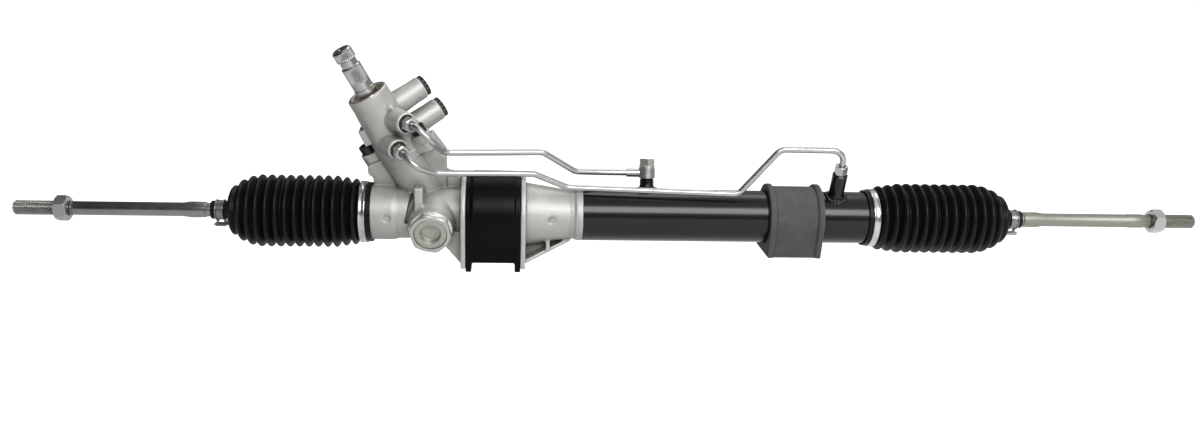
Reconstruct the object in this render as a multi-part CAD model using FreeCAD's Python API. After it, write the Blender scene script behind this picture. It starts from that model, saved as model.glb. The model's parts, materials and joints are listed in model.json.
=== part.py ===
import FreeCAD, Part
import math
import os
from FreeCAD import Vector as V

os.makedirs("parts", exist_ok=True)

# Hydraulic rack and pinion steering gear with its inner tie rods, in millimetres.
# X runs along the rack, to the right seen from the pinion side. Y points to the back, Z up.
# The origin is the middle of the flat base of the locating bush.

# Clearances
seat_gap = 0.05       # two pieces of one body that seat on each other
slide_gap = 0.06      # radial, a shaft that slides or turns in its bearing
free_gap = 0.3        # pieces that pass each other without touching
bore_gap = 0.6        # rack in the plain bore of the housing

# Rack
axis_height = 41.0    # rack axis above the base of the locating bush
rack_r = 13.0
rack_travel = 72.0    # each way
stop_gap = 2.0        # left between ball socket and housing at full travel
ball_reach = 28.0     # from the rack end to the ball
socket_thread_r = 8.0
socket_thread_length = 18.0

# Pinion and its teeth
pinion_x = -59.4      # where the pinion axis crosses behind the rack
pinion_tilt = 15.0    # top of the pinion leans towards the front, degrees
pinion_rake = 26.8    # top of the pinion leans towards the left tie rod, degrees
pinion_teeth = 8
tooth_module = 1.8
pressure_angle = 20.0
profile_shift = 0.55
tip_shortening = 0.59
root_below_base = 0.716
rack_pitch_line = 8.45    # from the rack axis to the rolling line of the teeth
rack_tip_plane = 9.3
rack_root_plane = 6.0
backlash = 0.08
teeth_each_way = 13
pinion_face = 32.0
pinion_lower_r = 7.0
pinion_upper_r = 9.0

# Stations up the pinion axis, from the crossing with the rack
cap_low = -38.0
lower_bearing_low = -31.0
lower_bearing_length = 12.0
upper_bearing_low = 20.0
upper_bearing_length = 14.0
joint_t = 70.0
pinion_below_joint = 4.0
sleeve_above_joint = 4.0
sleeve_play = 2.0         # under the input shaft bearing
rim_t = 134.0
input_bearing_drop = 22.0     # below the rim
input_bearing_length = 9.0
input_seal_drop = 10.5        # below the rim
input_seal_length = 7.0

# Torsion bar, valve sleeve and input shaft
torsion_r = 2.4
torsion_head_r = 3.0
torsion_head = 12.0
torsion_depth = 34.0          # into the pinion
torsion_above_rim = 14.0
pin_r = 1.4
sleeve_r = 14.0
sleeve_groove = 2.0
sleeve_ring_count = 4
sleeve_ring_width = 2.0
input_r = 10.0
input_stub = 47.0
stub_r = 9.5
stub_shoulder = 6.0           # above the rim
clamp_groove_drop = 18.0      # below the end of the stub
clamp_groove_length = 8.0
clamp_groove_depth = 1.5

# Gear housing casting
barrel_left = -130.0
barrel_length = 33.0
barrel_r = 27.0
body_r = 25.5
pinion_barrel_r = 22.0
pinion_bore_r = 10.6
lower_bearing_r = 11.0
end_cap_rim_r = 13.0
end_cap_rim = 3.0
upper_bearing_r = 16.5
joint_flange_thick = 9.0
ear_offset = 29.5
ear_r = 8.5
ear_turn = 18.0       # the right ear is turned to the front, clear of the hose ports
bolt_r = 4.0
bolt_head_r = 6.5
bolt_head_height = 8.0
neck_r = 26.0
flange_thick = 4.6
flange_r = 40.5
flange_half = 39.0
flange_drop = 46.5
cone_foot_r = 31.0
cone_r = 24.0
cone_right = 75.3
collar_groove = 5.3
collar_groove_depth = 1.5
collar_r = 26.0
collar_length = 6.9
spigot_length = 28.0
rib_thick = 4.0
cone_rib = 20.0           # from the right flange to the rib between its gussets
shoulder_deep = 22.0
shoulder_right = 12.6     # right-hand edge of the shoulder, from the pinion
shoulder_eave = 59.0
shoulder_peak = 79.0
shoulder_peak_in = 13.6   # the peak lies this far inside the right-hand edge
column_left = 57.6        # left-hand edge of the column under the left ear
column_overhang = 4.9
column_step = 34.0
column_top = 64.0
bridge_deep = 22.0
gusset_front = 26.0
gusset_thick = 14.0
front_rib_left = 15.6     # left-hand face of the front rib, from the pinion
front_rib_width = 7.5
front_rib_top = 31.0
front_rib_drop = 6.0
front_rib_reach = 32.5
pocket_width = 11.0
pocket_floor_r = 21.5
dimple_r = 4.5
dimple_depth = 1.2
dimple_from_pinion = 43.0
dimple_from_flange = 26.0

# Valve housing casting
valve_body_r = 21.5
valve_rim_r = 20.0
valve_bore_r = 15.5
port_r = 11.0
port_bore_r = 6.5
port_bore_depth = 16.0
port_bleed_r = 3.5
pressure_port_drop = 25.0     # below the rim
pressure_port_length = 49.0
return_port_rise = 11.5       # above the joint
return_port_length = 53.0
port_lean = 30.0      # ports point back by this angle, degrees
nut_boss_r = 10.5
nut_boss_length = 38.0
nut_boss_bore_r = 2.5
upper_boss_drop = 30.1        # below the rim
upper_boss_side = 5.2
upper_boss_swing = 35.0
upper_boss_dip = 2.0
lower_boss_rise = 16.3        # above the joint
lower_boss_side = -8.5
lower_boss_swing = 28.0
lower_boss_dip = 9.0
pad_foot_drop = 44.0          # below the rim
pad_head_drop = 28.0
nub_drop = 20.0
nub_side = 15.0
boss_recess_r = 8.2
boss_recess_depth = 4.5
cap_flange = 4.5
cap_skirt = 12.0
cap_wall = 1.5

# Rack guide
guide_boss_r = 21.0
guide_boss_length = 38.0
guide_r = 15.0
guide_length = 16.0
guide_plug_r = 16.0
guide_plug_length = 12.0
guide_plug_sunk = 6.0         # its inner end below the face of the boss
guide_pocket = 6.0            # spring pocket in the guide
guide_nut_across = 38.0
guide_nut_thick = 6.5
spring_r = 6.5
spring_wire_r = 1.2
spring_turns = 6

# Locating bush and floating bush
bush_half = 20.9
bush_lip = 5.6
bush_top_r = 42.5
bush_base_half = 36.0
bush_lip_drop = 49.5
floating_bush_left = 271.5
floating_bush_length = 54.0
floating_bush_r = 31.0
floating_lip = 5.5
floating_lip_r = 33.5
floating_base_half = 25.0
floating_base_drop = 36.0

# Power cylinder
tube_r = 26.0
tube_wall = 3.5
tube_right = 392.0
seal_holder_length = 22.0
end_bush_length = 34.0
snap_ring_wire = 2.0
piston_x = 249.0
piston_length = 18.0
piston_ring_width = 3.0
inner_port_x = 151.6
inner_port_lean = 11.6     # towards the back, degrees
inner_port_height = 36.5
inner_port_r = 7.0
outer_port_x = 340.5
outer_port_lean = -21.0    # towards the front, degrees
outer_port_height = 52.5
outer_port_r = 7.5

# Pipes and their fittings
pipe_r = 3.0
pipe_bend_r = 12.0
nut_across = 13.0
nut_length = 14.0
nut_sunk = 4.0
outer_nut_across = 11.0
outer_nut_length = 9.5
banjo_r = 8.5
banjo_height = 9.0
banjo_head_across = 14.0
banjo_head_height = 8.5
washer_thick = 1.0

# Bellows, clamps and clips
left_cuff = 12.0
right_cuff = 11.0
cuff_wall = 2.2
bellows_crests = 14
bellows_crest_r = 35.2
bellows_valley_r = 29.0
bellows_wall = 1.8
left_neck_reach = 24.6        # from the ball to the neck
right_neck_reach = 27.4
right_bellows_inset = 19.7    # from the tube end to the cuff
neck_wall = 1.8
neck_length = 16.5
band_width = 6.5
band_thick = 0.9
clip_width = 8.5
clip_gap = 4.0                # from the bellows shoulder
clip_thick = 1.6

# Inner ball joints and tie rods
ball_r = 11.0
socket_r = 17.5
cavity_r = 14.0
seat_opening = 55.0   # half angle left open for the rod, degrees
lip_opening = 50.0
rod_neck_r = 5.5
rod_neck_length = 20.0
rod_r = 6.75
thread_r = 7.0
thread_pitch_r = 6.5  # where the thread meets its nut
left_rod_length = 226.4
left_thread = 52.5
left_thread_shown = 38.9      # from the tip to the jam nut
right_rod_length = 229.9
right_thread = 48.0
right_thread_shown = 34.4
jam_nut_across = 22.0
jam_nut_thick = 12.0

# Directions
right = V(1, 0, 0)
left = V(-1, 0, 0)
lean = math.radians(pinion_tilt)
rake = math.radians(pinion_rake)
up_face = V(0, -math.sin(lean), math.cos(lean))
guide_dir = V(0, -math.cos(lean), -math.sin(lean))
pinion_dir = up_face * math.cos(rake) - right * math.sin(rake)
side_dir = right * math.cos(rake) + up_face * math.sin(rake)
turn = math.radians(ear_turn)
ear_dirs = (side_dir * -1, side_dir * math.cos(turn) + guide_dir * math.sin(turn))

# Sizes that follow from the ones above
pitch_r = tooth_module * pinion_teeth / 2
base_r = pitch_r * math.cos(math.radians(pressure_angle))
tip_r = pitch_r + tooth_module * (1 + profile_shift) - tip_shortening
root_r = base_r - root_below_base
tooth_thickness = (math.pi * tooth_module / 2
                   + 2 * profile_shift * tooth_module * math.tan(math.radians(pressure_angle)))
centre_distance = rack_pitch_line + pitch_r
pinion_top = joint_t - pinion_below_joint
sleeve_low = joint_t + sleeve_above_joint
input_bearing_low = rim_t - input_bearing_drop
input_seal_low = rim_t - input_seal_drop
sleeve_length = input_bearing_low - sleeve_play - sleeve_low
sleeve_ring_pitch = sleeve_length / sleeve_ring_count
torsion_low = pinion_top - torsion_depth
torsion_high = rim_t + torsion_above_rim
bush_outer = bush_half + bush_lip
flange_outer = bush_outer + flange_thick
tube_left = cone_right + collar_groove + collar_length
tube_bore_r = tube_r - tube_wall
inner_r = tube_bore_r - seat_gap
bore_r = rack_r + bore_gap
guide_plug_low = guide_boss_length - guide_plug_sunk
rack_left = barrel_left - rack_travel - stop_gap
rack_right = tube_right + rack_travel + stop_gap
left_ball = V(rack_left - ball_reach, 0, axis_height)
right_ball = V(rack_right + ball_reach, 0, axis_height)
left_bellows_end = left_ball.x - left_neck_reach
right_bellows_start = tube_right - right_bellows_inset
right_bellows_end = right_ball.x + right_neck_reach
left_tip = left_ball.x - left_rod_length
right_tip = right_ball.x + right_rod_length
left_nut_x = left_tip + left_thread_shown
right_nut_x = right_tip - right_thread_shown - jam_nut_thick


def at(x, y=0.0, z=0.0):
    """Point at x along the rack, y behind its axis and z above it."""
    return V(x, y, axis_height + z)


def on_pinion(t, side=0.0):
    """Point at t up the pinion axis and side across it."""
    return at(pinion_x) - guide_dir * centre_distance + pinion_dir * t + side_dir * side


def aim(swing, dip):
    """Direction to the front, swung to the right and dipped down, in degrees."""
    s, d = math.radians(swing), math.radians(dip)
    return V(math.sin(s) * math.cos(d), -math.cos(s) * math.cos(d), -math.sin(d))


def rod(start, direction, length, r):
    return Part.makeCylinder(r, length, start, direction)


def ring(start, direction, length, r_out, r_in):
    return rod(start, direction, length, r_out).cut(rod(start, direction, length, r_in))


def turned(start, direction, outline):
    """Solid of revolution of a closed outline of (along the axis, radius)."""
    across = direction.cross(V(0, 0, 1))
    if across.Length < 0.1:
        across = direction.cross(V(1, 0, 0))
    across.normalize()
    points = [start + direction * a + across * r for a, r in outline]
    face = Part.Face(Part.makePolygon(points + points[:1]))
    return face.revolve(start, direction, 360)


def prism(points, depth):
    """Flat outline pushed along a vector."""
    return Part.Face(Part.makePolygon(points + points[:1])).extrude(depth)


def hexagon(start, direction, length, across, turn=0.0):
    """Hexagonal bar between flats `across` wide, its points chamfered at the far end."""
    side = direction.cross(right)
    if side.Length < 0.1:
        side = V(0, 0, 1)
    side.normalize()
    other = direction.cross(side)
    point_r = across / math.sqrt(3)
    points = []
    for i in range(6):
        angle = math.radians(60 * i + turn)
        points.append(start + side * (point_r * math.cos(angle)) + other * (point_r * math.sin(angle)))
    bar = prism(points, direction * length)
    drop = point_r - across / 2
    crown = turned(start, direction, [(0, 0), (0, point_r + 1), (length - drop, point_r + 1),
                                      (length - drop, point_r), (length, across / 2), (length, 0)])
    return bar.common(crown)


def saddle(x, width, top_r, base_half, drop):
    """Plate across the rack: round over the axis, with straight sides down to a flat base."""
    reach = math.hypot(base_half, drop)
    corner = math.atan2(-drop, base_half)
    angle = corner + math.acos(top_r / reach)
    y, z = top_r * math.cos(angle), top_r * math.sin(angle)
    arc = Part.Arc(at(x, y, z), at(x, 0, top_r), at(x, -y, z)).toShape()
    low = Part.makePolygon([at(x, -y, z), at(x, -base_half, -drop), at(x, base_half, -drop), at(x, y, z)])
    return Part.Face(Part.Wire([arc] + low.Edges)).extrude(right * width)


def bent_tube(points, bend_r, r):
    """Round tube along straight runs joined by tangent bends."""
    edges = []
    last = points[0]
    for before, corner, after in zip(points, points[1:], points[2:]):
        come = (corner - before).normalize()
        go = (after - corner).normalize()
        half = come.getAngle(go) / 2
        trim = bend_r * math.tan(half)
        start, end = corner - come * trim, corner + go * trim
        inward = (go - come).normalize()
        middle = corner + inward * (bend_r / math.cos(half) - bend_r)
        edges.append(Part.makeLine(last, start))
        edges.append(Part.Arc(start, middle, end).toShape())
        last = end
    edges.append(Part.makeLine(last, points[-1]))
    spine = Part.Wire(edges)
    ring_edge = Part.makeCircle(r, points[0], points[1] - points[0])
    return spine.makePipeShell([Part.Wire(ring_edge)], True, True)


def keep(name, shape):
    """Write one node; its solids stay separate."""
    solids = Part.makeCompound(shape.Solids) if len(shape.Solids) > 1 else shape.Solids[0]
    solids.exportStep("parts/" + name + ".step")


# Gear housing

def gear_outside():
    barrel = turned(at(barrel_left), right, [
        (0, 0), (0, barrel_r - 1), (1, barrel_r), (barrel_length, barrel_r),
        (barrel_length + 4, body_r), (pinion_x - barrel_left, body_r), (pinion_x - barrel_left, 0)])
    body = rod(at(pinion_x), right, -bush_outer - pinion_x, body_r)
    neck = rod(at(-flange_outer), right, 2 * flange_outer, neck_r)
    left_flange = saddle(-flange_outer, flange_thick, flange_r, flange_half, flange_drop)
    right_flange = saddle(bush_outer, flange_thick, flange_r, flange_half, flange_drop)
    groove_r = collar_r - collar_groove_depth
    cone = turned(at(bush_outer), right, [
        (0, 0), (0, cone_foot_r), (flange_thick, cone_foot_r), (cone_right - bush_outer, cone_r),
        (cone_right - bush_outer + 1, groove_r), (cone_right + collar_groove - bush_outer, groove_r),
        (cone_right + collar_groove - bush_outer, collar_r), (tube_left - bush_outer, collar_r),
        (tube_left - bush_outer, inner_r), (tube_left + spigot_length - bush_outer, inner_r),
        (tube_left + spigot_length - bush_outer, 0)])
    return barrel.fuse([body, neck, left_flange, right_flange, cone]).cut(front_pocket())


def front_pocket():
    """Pocket in the front of the barrel, to the left of the front rib."""
    x = pinion_x - front_rib_left
    groove = ring(at(x - pocket_width), right, pocket_width, 2 * barrel_r, pocket_floor_r)
    wedge = prism([at(x - pocket_width / 4, 0, front_rib_top), at(x, 0, front_rib_top),
                   at(x, 0, -front_rib_drop), at(x - pocket_width, 0, -front_rib_drop)],
                  V(0, -2 * barrel_r, 0))
    return groove.common(wedge)


def pinion_barrel():
    foot_r = pinion_barrel_r - 5
    barrel = turned(on_pinion(cap_low), pinion_dir, [
        (0, 0), (0, foot_r), (6, foot_r + 2), (-cap_low, pinion_barrel_r),
        (joint_t - cap_low - joint_flange_thick, pinion_barrel_r), (joint_t - cap_low, valve_body_r),
        (joint_t - cap_low, 0)])
    return barrel.fuse(joint_plate(joint_t - joint_flange_thick))


def joint_plate(t):
    """Flange between gear housing and valve housing, with an ear at each side."""
    plate = rod(on_pinion(t), pinion_dir, joint_flange_thick, valve_body_r + 1)
    for ear_dir in ear_dirs:
        middle = on_pinion(t) + ear_dir * ear_offset
        across = pinion_dir.cross(ear_dir) * ear_r
        web = prism([on_pinion(t) - across, on_pinion(t) + across, middle + across, middle - across],
                    pinion_dir * joint_flange_thick)
        plate = plate.fuse([rod(middle, pinion_dir, joint_flange_thick, ear_r), web])
    return plate


def bolt_holes(t, length):
    hole_r = bolt_r + seat_gap
    return [rod(on_pinion(t) + ear_dir * ear_offset, pinion_dir, length, hole_r) for ear_dir in ear_dirs]


def gear_webs():
    """Shoulder, column, bridge and ribs that carry the joint plate, the flanges and the guide boss."""
    heel = on_pinion(0) - guide_dir * (shoulder_deep / 2)
    outline = [(-column_left, 0), (shoulder_right, 0), (shoulder_right, shoulder_eave),
               (shoulder_right - shoulder_peak_in, shoulder_peak), (-pinion_barrel_r, column_top),
               (-column_left - column_overhang, column_top),
               (-column_left - column_overhang, column_step + column_overhang), (-column_left, column_step)]
    shoulder = prism([heel + right * x + up_face * h for x, h in outline], guide_dir * shoulder_deep)
    low, high = body_r - bridge_deep / 2, pinion_barrel_r + bridge_deep
    bridge = prism([at(pinion_x, 0, low), at(-flange_outer, 0, low),
                    at(-flange_outer, 0, flange_r - flange_thick),
                    at(pinion_x + shoulder_right, 0, flange_r), at(pinion_x, 0, high)],
                   V(0, bridge_deep, 0))
    foot = pinion_x + guide_boss_r / 2
    gusset = prism([at(-flange_outer, -gusset_front, -body_r / 2),
                    at(-flange_outer, -gusset_front, 1 - flange_drop),
                    at(foot, -gusset_front, -guide_boss_r - rib_thick),
                    at(foot, -gusset_front, -body_r / 2)], V(0, gusset_thick, 0))
    x = pinion_x - front_rib_left
    back = -body_r / 2
    rib = prism([at(x, back, front_rib_top), at(x + front_rib_width, back, front_rib_top),
                 at(x + front_rib_width, back, -front_rib_drop), at(x, back, -front_rib_drop)],
                V(0, -front_rib_reach - back, 0))
    return [shoulder, bridge, gusset, rib]


def cone_webs():
    """Sloping gusset with a web and a rib between the right flange and the collar."""
    foot = flange_drop - rib_thick
    wide, narrow = flange_half / 2, collar_r / 3
    end = rib_thick / 2 - cone_r
    slope = prism([at(flange_outer, -wide, -foot), at(flange_outer, wide, -foot),
                   at(cone_right, narrow, end), at(cone_right, -narrow, end)], V(0, 0, -rib_thick))
    side = -rib_thick / 2
    web = prism([at(flange_outer, side, rib_thick - cone_r), at(flange_outer, side, -foot - 1),
                 at(cone_right, side, 1 - cone_r)], V(0, rib_thick, 0))
    x = flange_outer + cone_rib
    rib_foot = foot - (foot - cone_r) * cone_rib / (cone_right - flange_outer)
    half = wide - rib_thick
    rib = prism([at(x, -half, 0), at(x, half, 0), at(x, half, -rib_foot), at(x, -half, -rib_foot)],
                right * rib_thick)
    return [slope, web, rib]


def gear_housing():
    guide_boss = turned(at(pinion_x), guide_dir, [
        (0, 0), (0, guide_boss_r + 4), (body_r, guide_boss_r + 2), (body_r + 5, guide_boss_r),
        (guide_boss_length, guide_boss_r), (guide_boss_length, 0)])
    solid = gear_outside().fuse([pinion_barrel(), guide_boss] + gear_webs() + cone_webs())
    cuts = [rod(at(barrel_left - 1), right, tube_left + spigot_length - barrel_left + 2, bore_r)]
    cuts.append(turned(on_pinion(cap_low - 1), pinion_dir, [
        (0, 0), (0, lower_bearing_r + seat_gap),
        (lower_bearing_low + lower_bearing_length - cap_low + 1, lower_bearing_r + seat_gap),
        (lower_bearing_low + lower_bearing_length - cap_low + 1, pinion_bore_r),
        (upper_bearing_low - cap_low + 1, pinion_bore_r),
        (upper_bearing_low - cap_low + 1, upper_bearing_r + seat_gap),
        (upper_bearing_low + upper_bearing_length - cap_low + 1, upper_bearing_r + seat_gap),
        (upper_bearing_low + upper_bearing_length - cap_low + 1, valve_bore_r),
        (joint_t - cap_low + 2, valve_bore_r), (joint_t - cap_low + 2, 0)]))
    cuts.append(turned(at(pinion_x), guide_dir, [
        (0, 0), (0, guide_r + slide_gap), (guide_plug_low, guide_r + slide_gap),
        (guide_plug_low, guide_plug_r + seat_gap), (guide_boss_length + 1, guide_plug_r + seat_gap),
        (guide_boss_length + 1, 0)]))
    cuts += bolt_holes(joint_t - joint_flange_thick - 1, joint_flange_thick + 2)
    cuts.append(rod(on_pinion(joint_t), pinion_dir, 2 * ear_offset, 2 * ear_offset))
    rim = 2 * end_cap_rim
    cuts.append(rod(on_pinion(cap_low - rim), pinion_dir, rim, end_cap_rim_r + bore_gap))
    cone_fall = (cone_foot_r - cone_r) * dimple_from_flange / (cone_right - flange_outer)
    dimples = ((pinion_x - dimple_from_pinion, barrel_r),
               (flange_outer + dimple_from_flange, cone_foot_r - cone_fall))
    for x, r in dimples:
        cuts.append(rod(at(x, dimple_depth - r), V(0, -1, 0), barrel_r, dimple_r))
    return solid.cut(cuts).removeSplitter()


# Valve housing

port_dir = side_dir * math.cos(math.radians(port_lean)) - guide_dir * math.sin(math.radians(port_lean))
nut_bosses = {
    "upper": (on_pinion(rim_t - upper_boss_drop, upper_boss_side), aim(upper_boss_swing, upper_boss_dip)),
    "lower": (on_pinion(joint_t + lower_boss_rise, lower_boss_side), aim(lower_boss_swing, lower_boss_dip)),
}
ports = {
    "pressure": (on_pinion(rim_t - pressure_port_drop), pressure_port_length),
    "return": (on_pinion(joint_t + return_port_rise), return_port_length),
}


def valve_housing():
    t0 = joint_t + seat_gap
    body = turned(on_pinion(t0), pinion_dir, [
        (0, 0), (0, valve_body_r + 1.5), ((rim_t - t0) / 2, valve_body_r), (rim_t - t0 - 12, valve_rim_r),
        (rim_t - t0 - 1, valve_rim_r), (rim_t - t0, valve_rim_r - 1), (rim_t - t0, 0)])
    pieces = [joint_plate(t0)]
    for start, length in ports.values():
        pieces.append(turned(start, port_dir, [
            (0, 0), (0, port_r + 2), (length - 12, port_r), (length - 1, port_r), (length, port_r - 1),
            (length, 0)]))
    for start, direction in nut_bosses.values():
        pieces.append(turned(start, direction, [
            (0, 0), (0, nut_boss_r + 3), (nut_boss_length - 8, nut_boss_r),
            (nut_boss_length - 1.5, nut_boss_r), (nut_boss_length, nut_boss_r - 1.5),
            (nut_boss_length, 0)]))
    pad_low, pad_high = rim_t - pad_foot_drop, rim_t - pad_head_drop
    pad = prism([on_pinion(pad_low, -valve_body_r - 3), on_pinion(pad_high, -valve_body_r - 2),
                 on_pinion(pad_high, -10), on_pinion(pad_low, -10)], guide_dir * 14)
    nub = rod(on_pinion(rim_t - nub_drop, nub_side), guide_dir, 16, 4.2)
    solid = body.fuse(pieces + [pad, nub])
    cuts = [rod(on_pinion(joint_t - 1), pinion_dir, rim_t - joint_t + 2, valve_bore_r)]
    for start, length in ports.values():
        mouth = start + port_dir * length
        cuts.append(rod(mouth - port_dir * port_bore_depth, port_dir, port_bore_depth + 1, port_bore_r))
        cuts.append(rod(start, port_dir, length, port_bleed_r))
    for start, direction in nut_bosses.values():
        recess = start + direction * (nut_boss_length - boss_recess_depth)
        cuts.append(rod(recess, direction, boss_recess_depth + 1, boss_recess_r))
        cuts.append(rod(start, direction, nut_boss_length, nut_boss_bore_r))
    cuts += bolt_holes(joint_t - 1, joint_flange_thick + 8)
    cuts.append(rod(on_pinion(t0 - ear_offset), pinion_dir, ear_offset, 2 * ear_offset))
    seat = joint_t + joint_flange_thick + seat_gap
    for ear_dir in ear_dirs:
        middle = on_pinion(seat) + ear_dir * ear_offset
        cuts.append(rod(middle, pinion_dir, bolt_head_height + 4, bolt_head_r + 1))
    return solid.cut(cuts).removeSplitter()


def valve_housing_bolts():
    bolts = []
    seat = joint_t + joint_flange_thick + 2 * seat_gap
    for ear_dir in ear_dirs:
        shift = ear_dir * ear_offset
        head = rod(on_pinion(seat) + shift, pinion_dir, bolt_head_height, bolt_head_r)
        shank = rod(on_pinion(joint_t - joint_flange_thick) + shift, pinion_dir,
                    seat - joint_t + joint_flange_thick, bolt_r)
        key = hexagon(on_pinion(seat + bolt_head_height / 2) + shift, pinion_dir, bolt_head_height, 6.0)
        bolts.append(head.fuse(shank).cut(key))
    return Part.makeCompound(bolts)


def port_cap(start, length):
    """Moulded plug that closes a hose port: a flange outside and a hollow skirt in the bore."""
    skirt_r = port_bore_r - seat_gap
    return turned(start + port_dir * (length + seat_gap), port_dir, [
        (-cap_skirt, skirt_r - cap_wall), (-cap_skirt, skirt_r), (0, skirt_r), (0, port_r - 1),
        (cap_flange - 1, port_r - 1), (cap_flange, port_r - 2), (cap_flange, 0), (1, 0),
        (1, skirt_r - cap_wall)])


# Pinion, torsion bar, valve and input shaft

def involute_point(r):
    """Polar angle of the involute at radius r, measured from its start on the base circle."""
    roll = math.sqrt(max((r / base_r) ** 2 - 1, 0.0))
    return roll - math.atan(roll)


def pinion_section(t):
    """Closed outline of the pinion teeth at t up its axis, one tooth pointing at the rack."""
    half_at_base = tooth_thickness / (2 * pitch_r) + involute_point(pitch_r)
    steps = 5
    points = []
    for tooth in range(pinion_teeth):
        centre = 2 * math.pi * tooth / pinion_teeth
        radii = [root_r] + [base_r + (tip_r - base_r) * i / steps for i in range(steps + 1)]
        flank = [(r, half_at_base - involute_point(r)) for r in radii]
        for r, angle in flank:
            points.append((r, centre - angle))
        for r, angle in reversed(flank):
            points.append((r, centre + angle))
    middle = on_pinion(t)
    return [middle + guide_dir * (r * math.cos(a)) + side_dir * (r * math.sin(a)) for r, a in points]


def pinion_shaft():
    low = -pinion_face / 2
    gear = prism(pinion_section(low), pinion_dir * pinion_face)
    lower_low = lower_bearing_low - 1
    lower = rod(on_pinion(lower_low), pinion_dir, low - lower_low, pinion_lower_r)
    collar = upper_bearing_low + upper_bearing_length + 2 + low
    collar_wide = pinion_upper_r + 3
    upper = turned(on_pinion(-low), pinion_dir, [
        (0, 0), (0, pinion_upper_r), (collar, pinion_upper_r), (collar, collar_wide),
        (pinion_top + low, collar_wide), (pinion_top + low, 0)])
    solid = gear.fuse([lower, upper])
    socket = rod(on_pinion(torsion_low + torsion_head + 2), pinion_dir, torsion_depth, torsion_r + 1.5)
    bar_hole = rod(on_pinion(torsion_low), pinion_dir, torsion_head + 3, torsion_head_r + seat_gap)
    return solid.cut([socket, bar_hole, cross_hole(torsion_low + torsion_head / 2, seat_gap)])


def cross_hole(t, gap):
    """Hole across the pinion axis for a drive pin."""
    return rod(on_pinion(t, -sleeve_r), side_dir, 2 * sleeve_r, pin_r + gap)


def drive_pin(t, shaft_r):
    half = shaft_r - 0.5
    return rod(on_pinion(t, -half), side_dir, 2 * half, pin_r)


def torsion_bar():
    """Thin bar with a thicker head in the pinion and one in the input shaft."""
    length = torsion_high - torsion_low - seat_gap
    neck = length - torsion_head
    bar = turned(on_pinion(torsion_low + seat_gap), pinion_dir, [
        (0, 0), (0, torsion_head_r), (torsion_head, torsion_head_r), (torsion_head + 2, torsion_r),
        (neck - 2, torsion_r), (neck, torsion_head_r), (length, torsion_head_r), (length, 0)])
    return bar.cut([cross_hole(torsion_low + torsion_head / 2, seat_gap),
                    cross_hole(torsion_high - torsion_head / 2, free_gap)])


def valve_sleeve():
    """Sleeve with ring lands, fixed to the pinion; the input shaft turns inside it."""
    groove = sleeve_r - sleeve_groove
    outline = [(0, input_r + slide_gap), (0, sleeve_r)]
    for i in range(1, sleeve_ring_count):
        a = sleeve_ring_pitch * i
        outline += [(a - 3, sleeve_r), (a - 3, groove), (a, groove), (a, sleeve_r)]
    outline += [(sleeve_length, sleeve_r), (sleeve_length, input_r + slide_gap)]
    return turned(on_pinion(sleeve_low), pinion_dir, outline)


def sleeve_rings():
    rings = []
    for i in range(sleeve_ring_count):
        low = sleeve_low + (i + 1 / 6) * sleeve_ring_pitch
        rings.append(ring(on_pinion(low), pinion_dir, sleeve_ring_width, valve_bore_r - slide_gap,
                          sleeve_r + seat_gap))
    return Part.makeCompound(rings)


def sleeve_hub():
    """Cup that carries the sleeve on the head of the pinion."""
    length = sleeve_low - pinion_top - 2 * seat_gap
    return turned(on_pinion(pinion_top + seat_gap), pinion_dir, [
        (0, torsion_r + 1.5), (0, pinion_upper_r + 3), (length, sleeve_r), (length, torsion_r + 1.5)])


def input_shaft():
    """Shaft in the valve sleeve, with a smaller stub grooved for the clamp bolt of a column joint."""
    low = sleeve_low + free_gap
    high = rim_t + input_stub - low
    shoulder = rim_t + stub_shoulder - low
    groove = high - clamp_groove_drop
    groove_r = stub_r - clamp_groove_depth
    shaft = turned(on_pinion(low), pinion_dir, [
        (0, 0), (0, input_r), (shoulder - input_r + stub_r, input_r), (shoulder, stub_r), (groove, stub_r),
        (groove + 1, groove_r), (groove + clamp_groove_length - 1, groove_r),
        (groove + clamp_groove_length, stub_r), (high - 1.5, stub_r), (high, stub_r - 1.5), (high, 0)])
    bore = rod(on_pinion(low - 1), pinion_dir, torsion_high - low + 2, torsion_head_r + slide_gap)
    return shaft.cut([bore, cross_hole(torsion_high - torsion_head / 2, seat_gap)])


def shaft_bearing(low, length, r_out, r_in):
    return ring(on_pinion(low), pinion_dir, length, r_out, r_in + slide_gap)


def pinion_end_cap():
    """Screwed cap under the lower bearing."""
    low = cap_low - end_cap_rim
    cap = rod(on_pinion(low), pinion_dir, lower_bearing_low - cap_low + end_cap_rim - 1.5, lower_bearing_r)
    rim = rod(on_pinion(low), pinion_dir, end_cap_rim - seat_gap, end_cap_rim_r)
    return cap.fuse(rim).cut(hexagon(on_pinion(low - 1), pinion_dir, 5, 12.0))


def input_seal():
    """Lip seal in the mouth of the valve housing."""
    return turned(on_pinion(input_seal_low), pinion_dir, [
        (0, input_r + 2), (0, valve_bore_r - seat_gap), (input_seal_length, valve_bore_r - seat_gap),
        (input_seal_length, input_r + 2.5), (input_seal_length - 3, input_r + slide_gap),
        (input_seal_length - 4, input_r + slide_gap)])


# Rack and power cylinder

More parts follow.
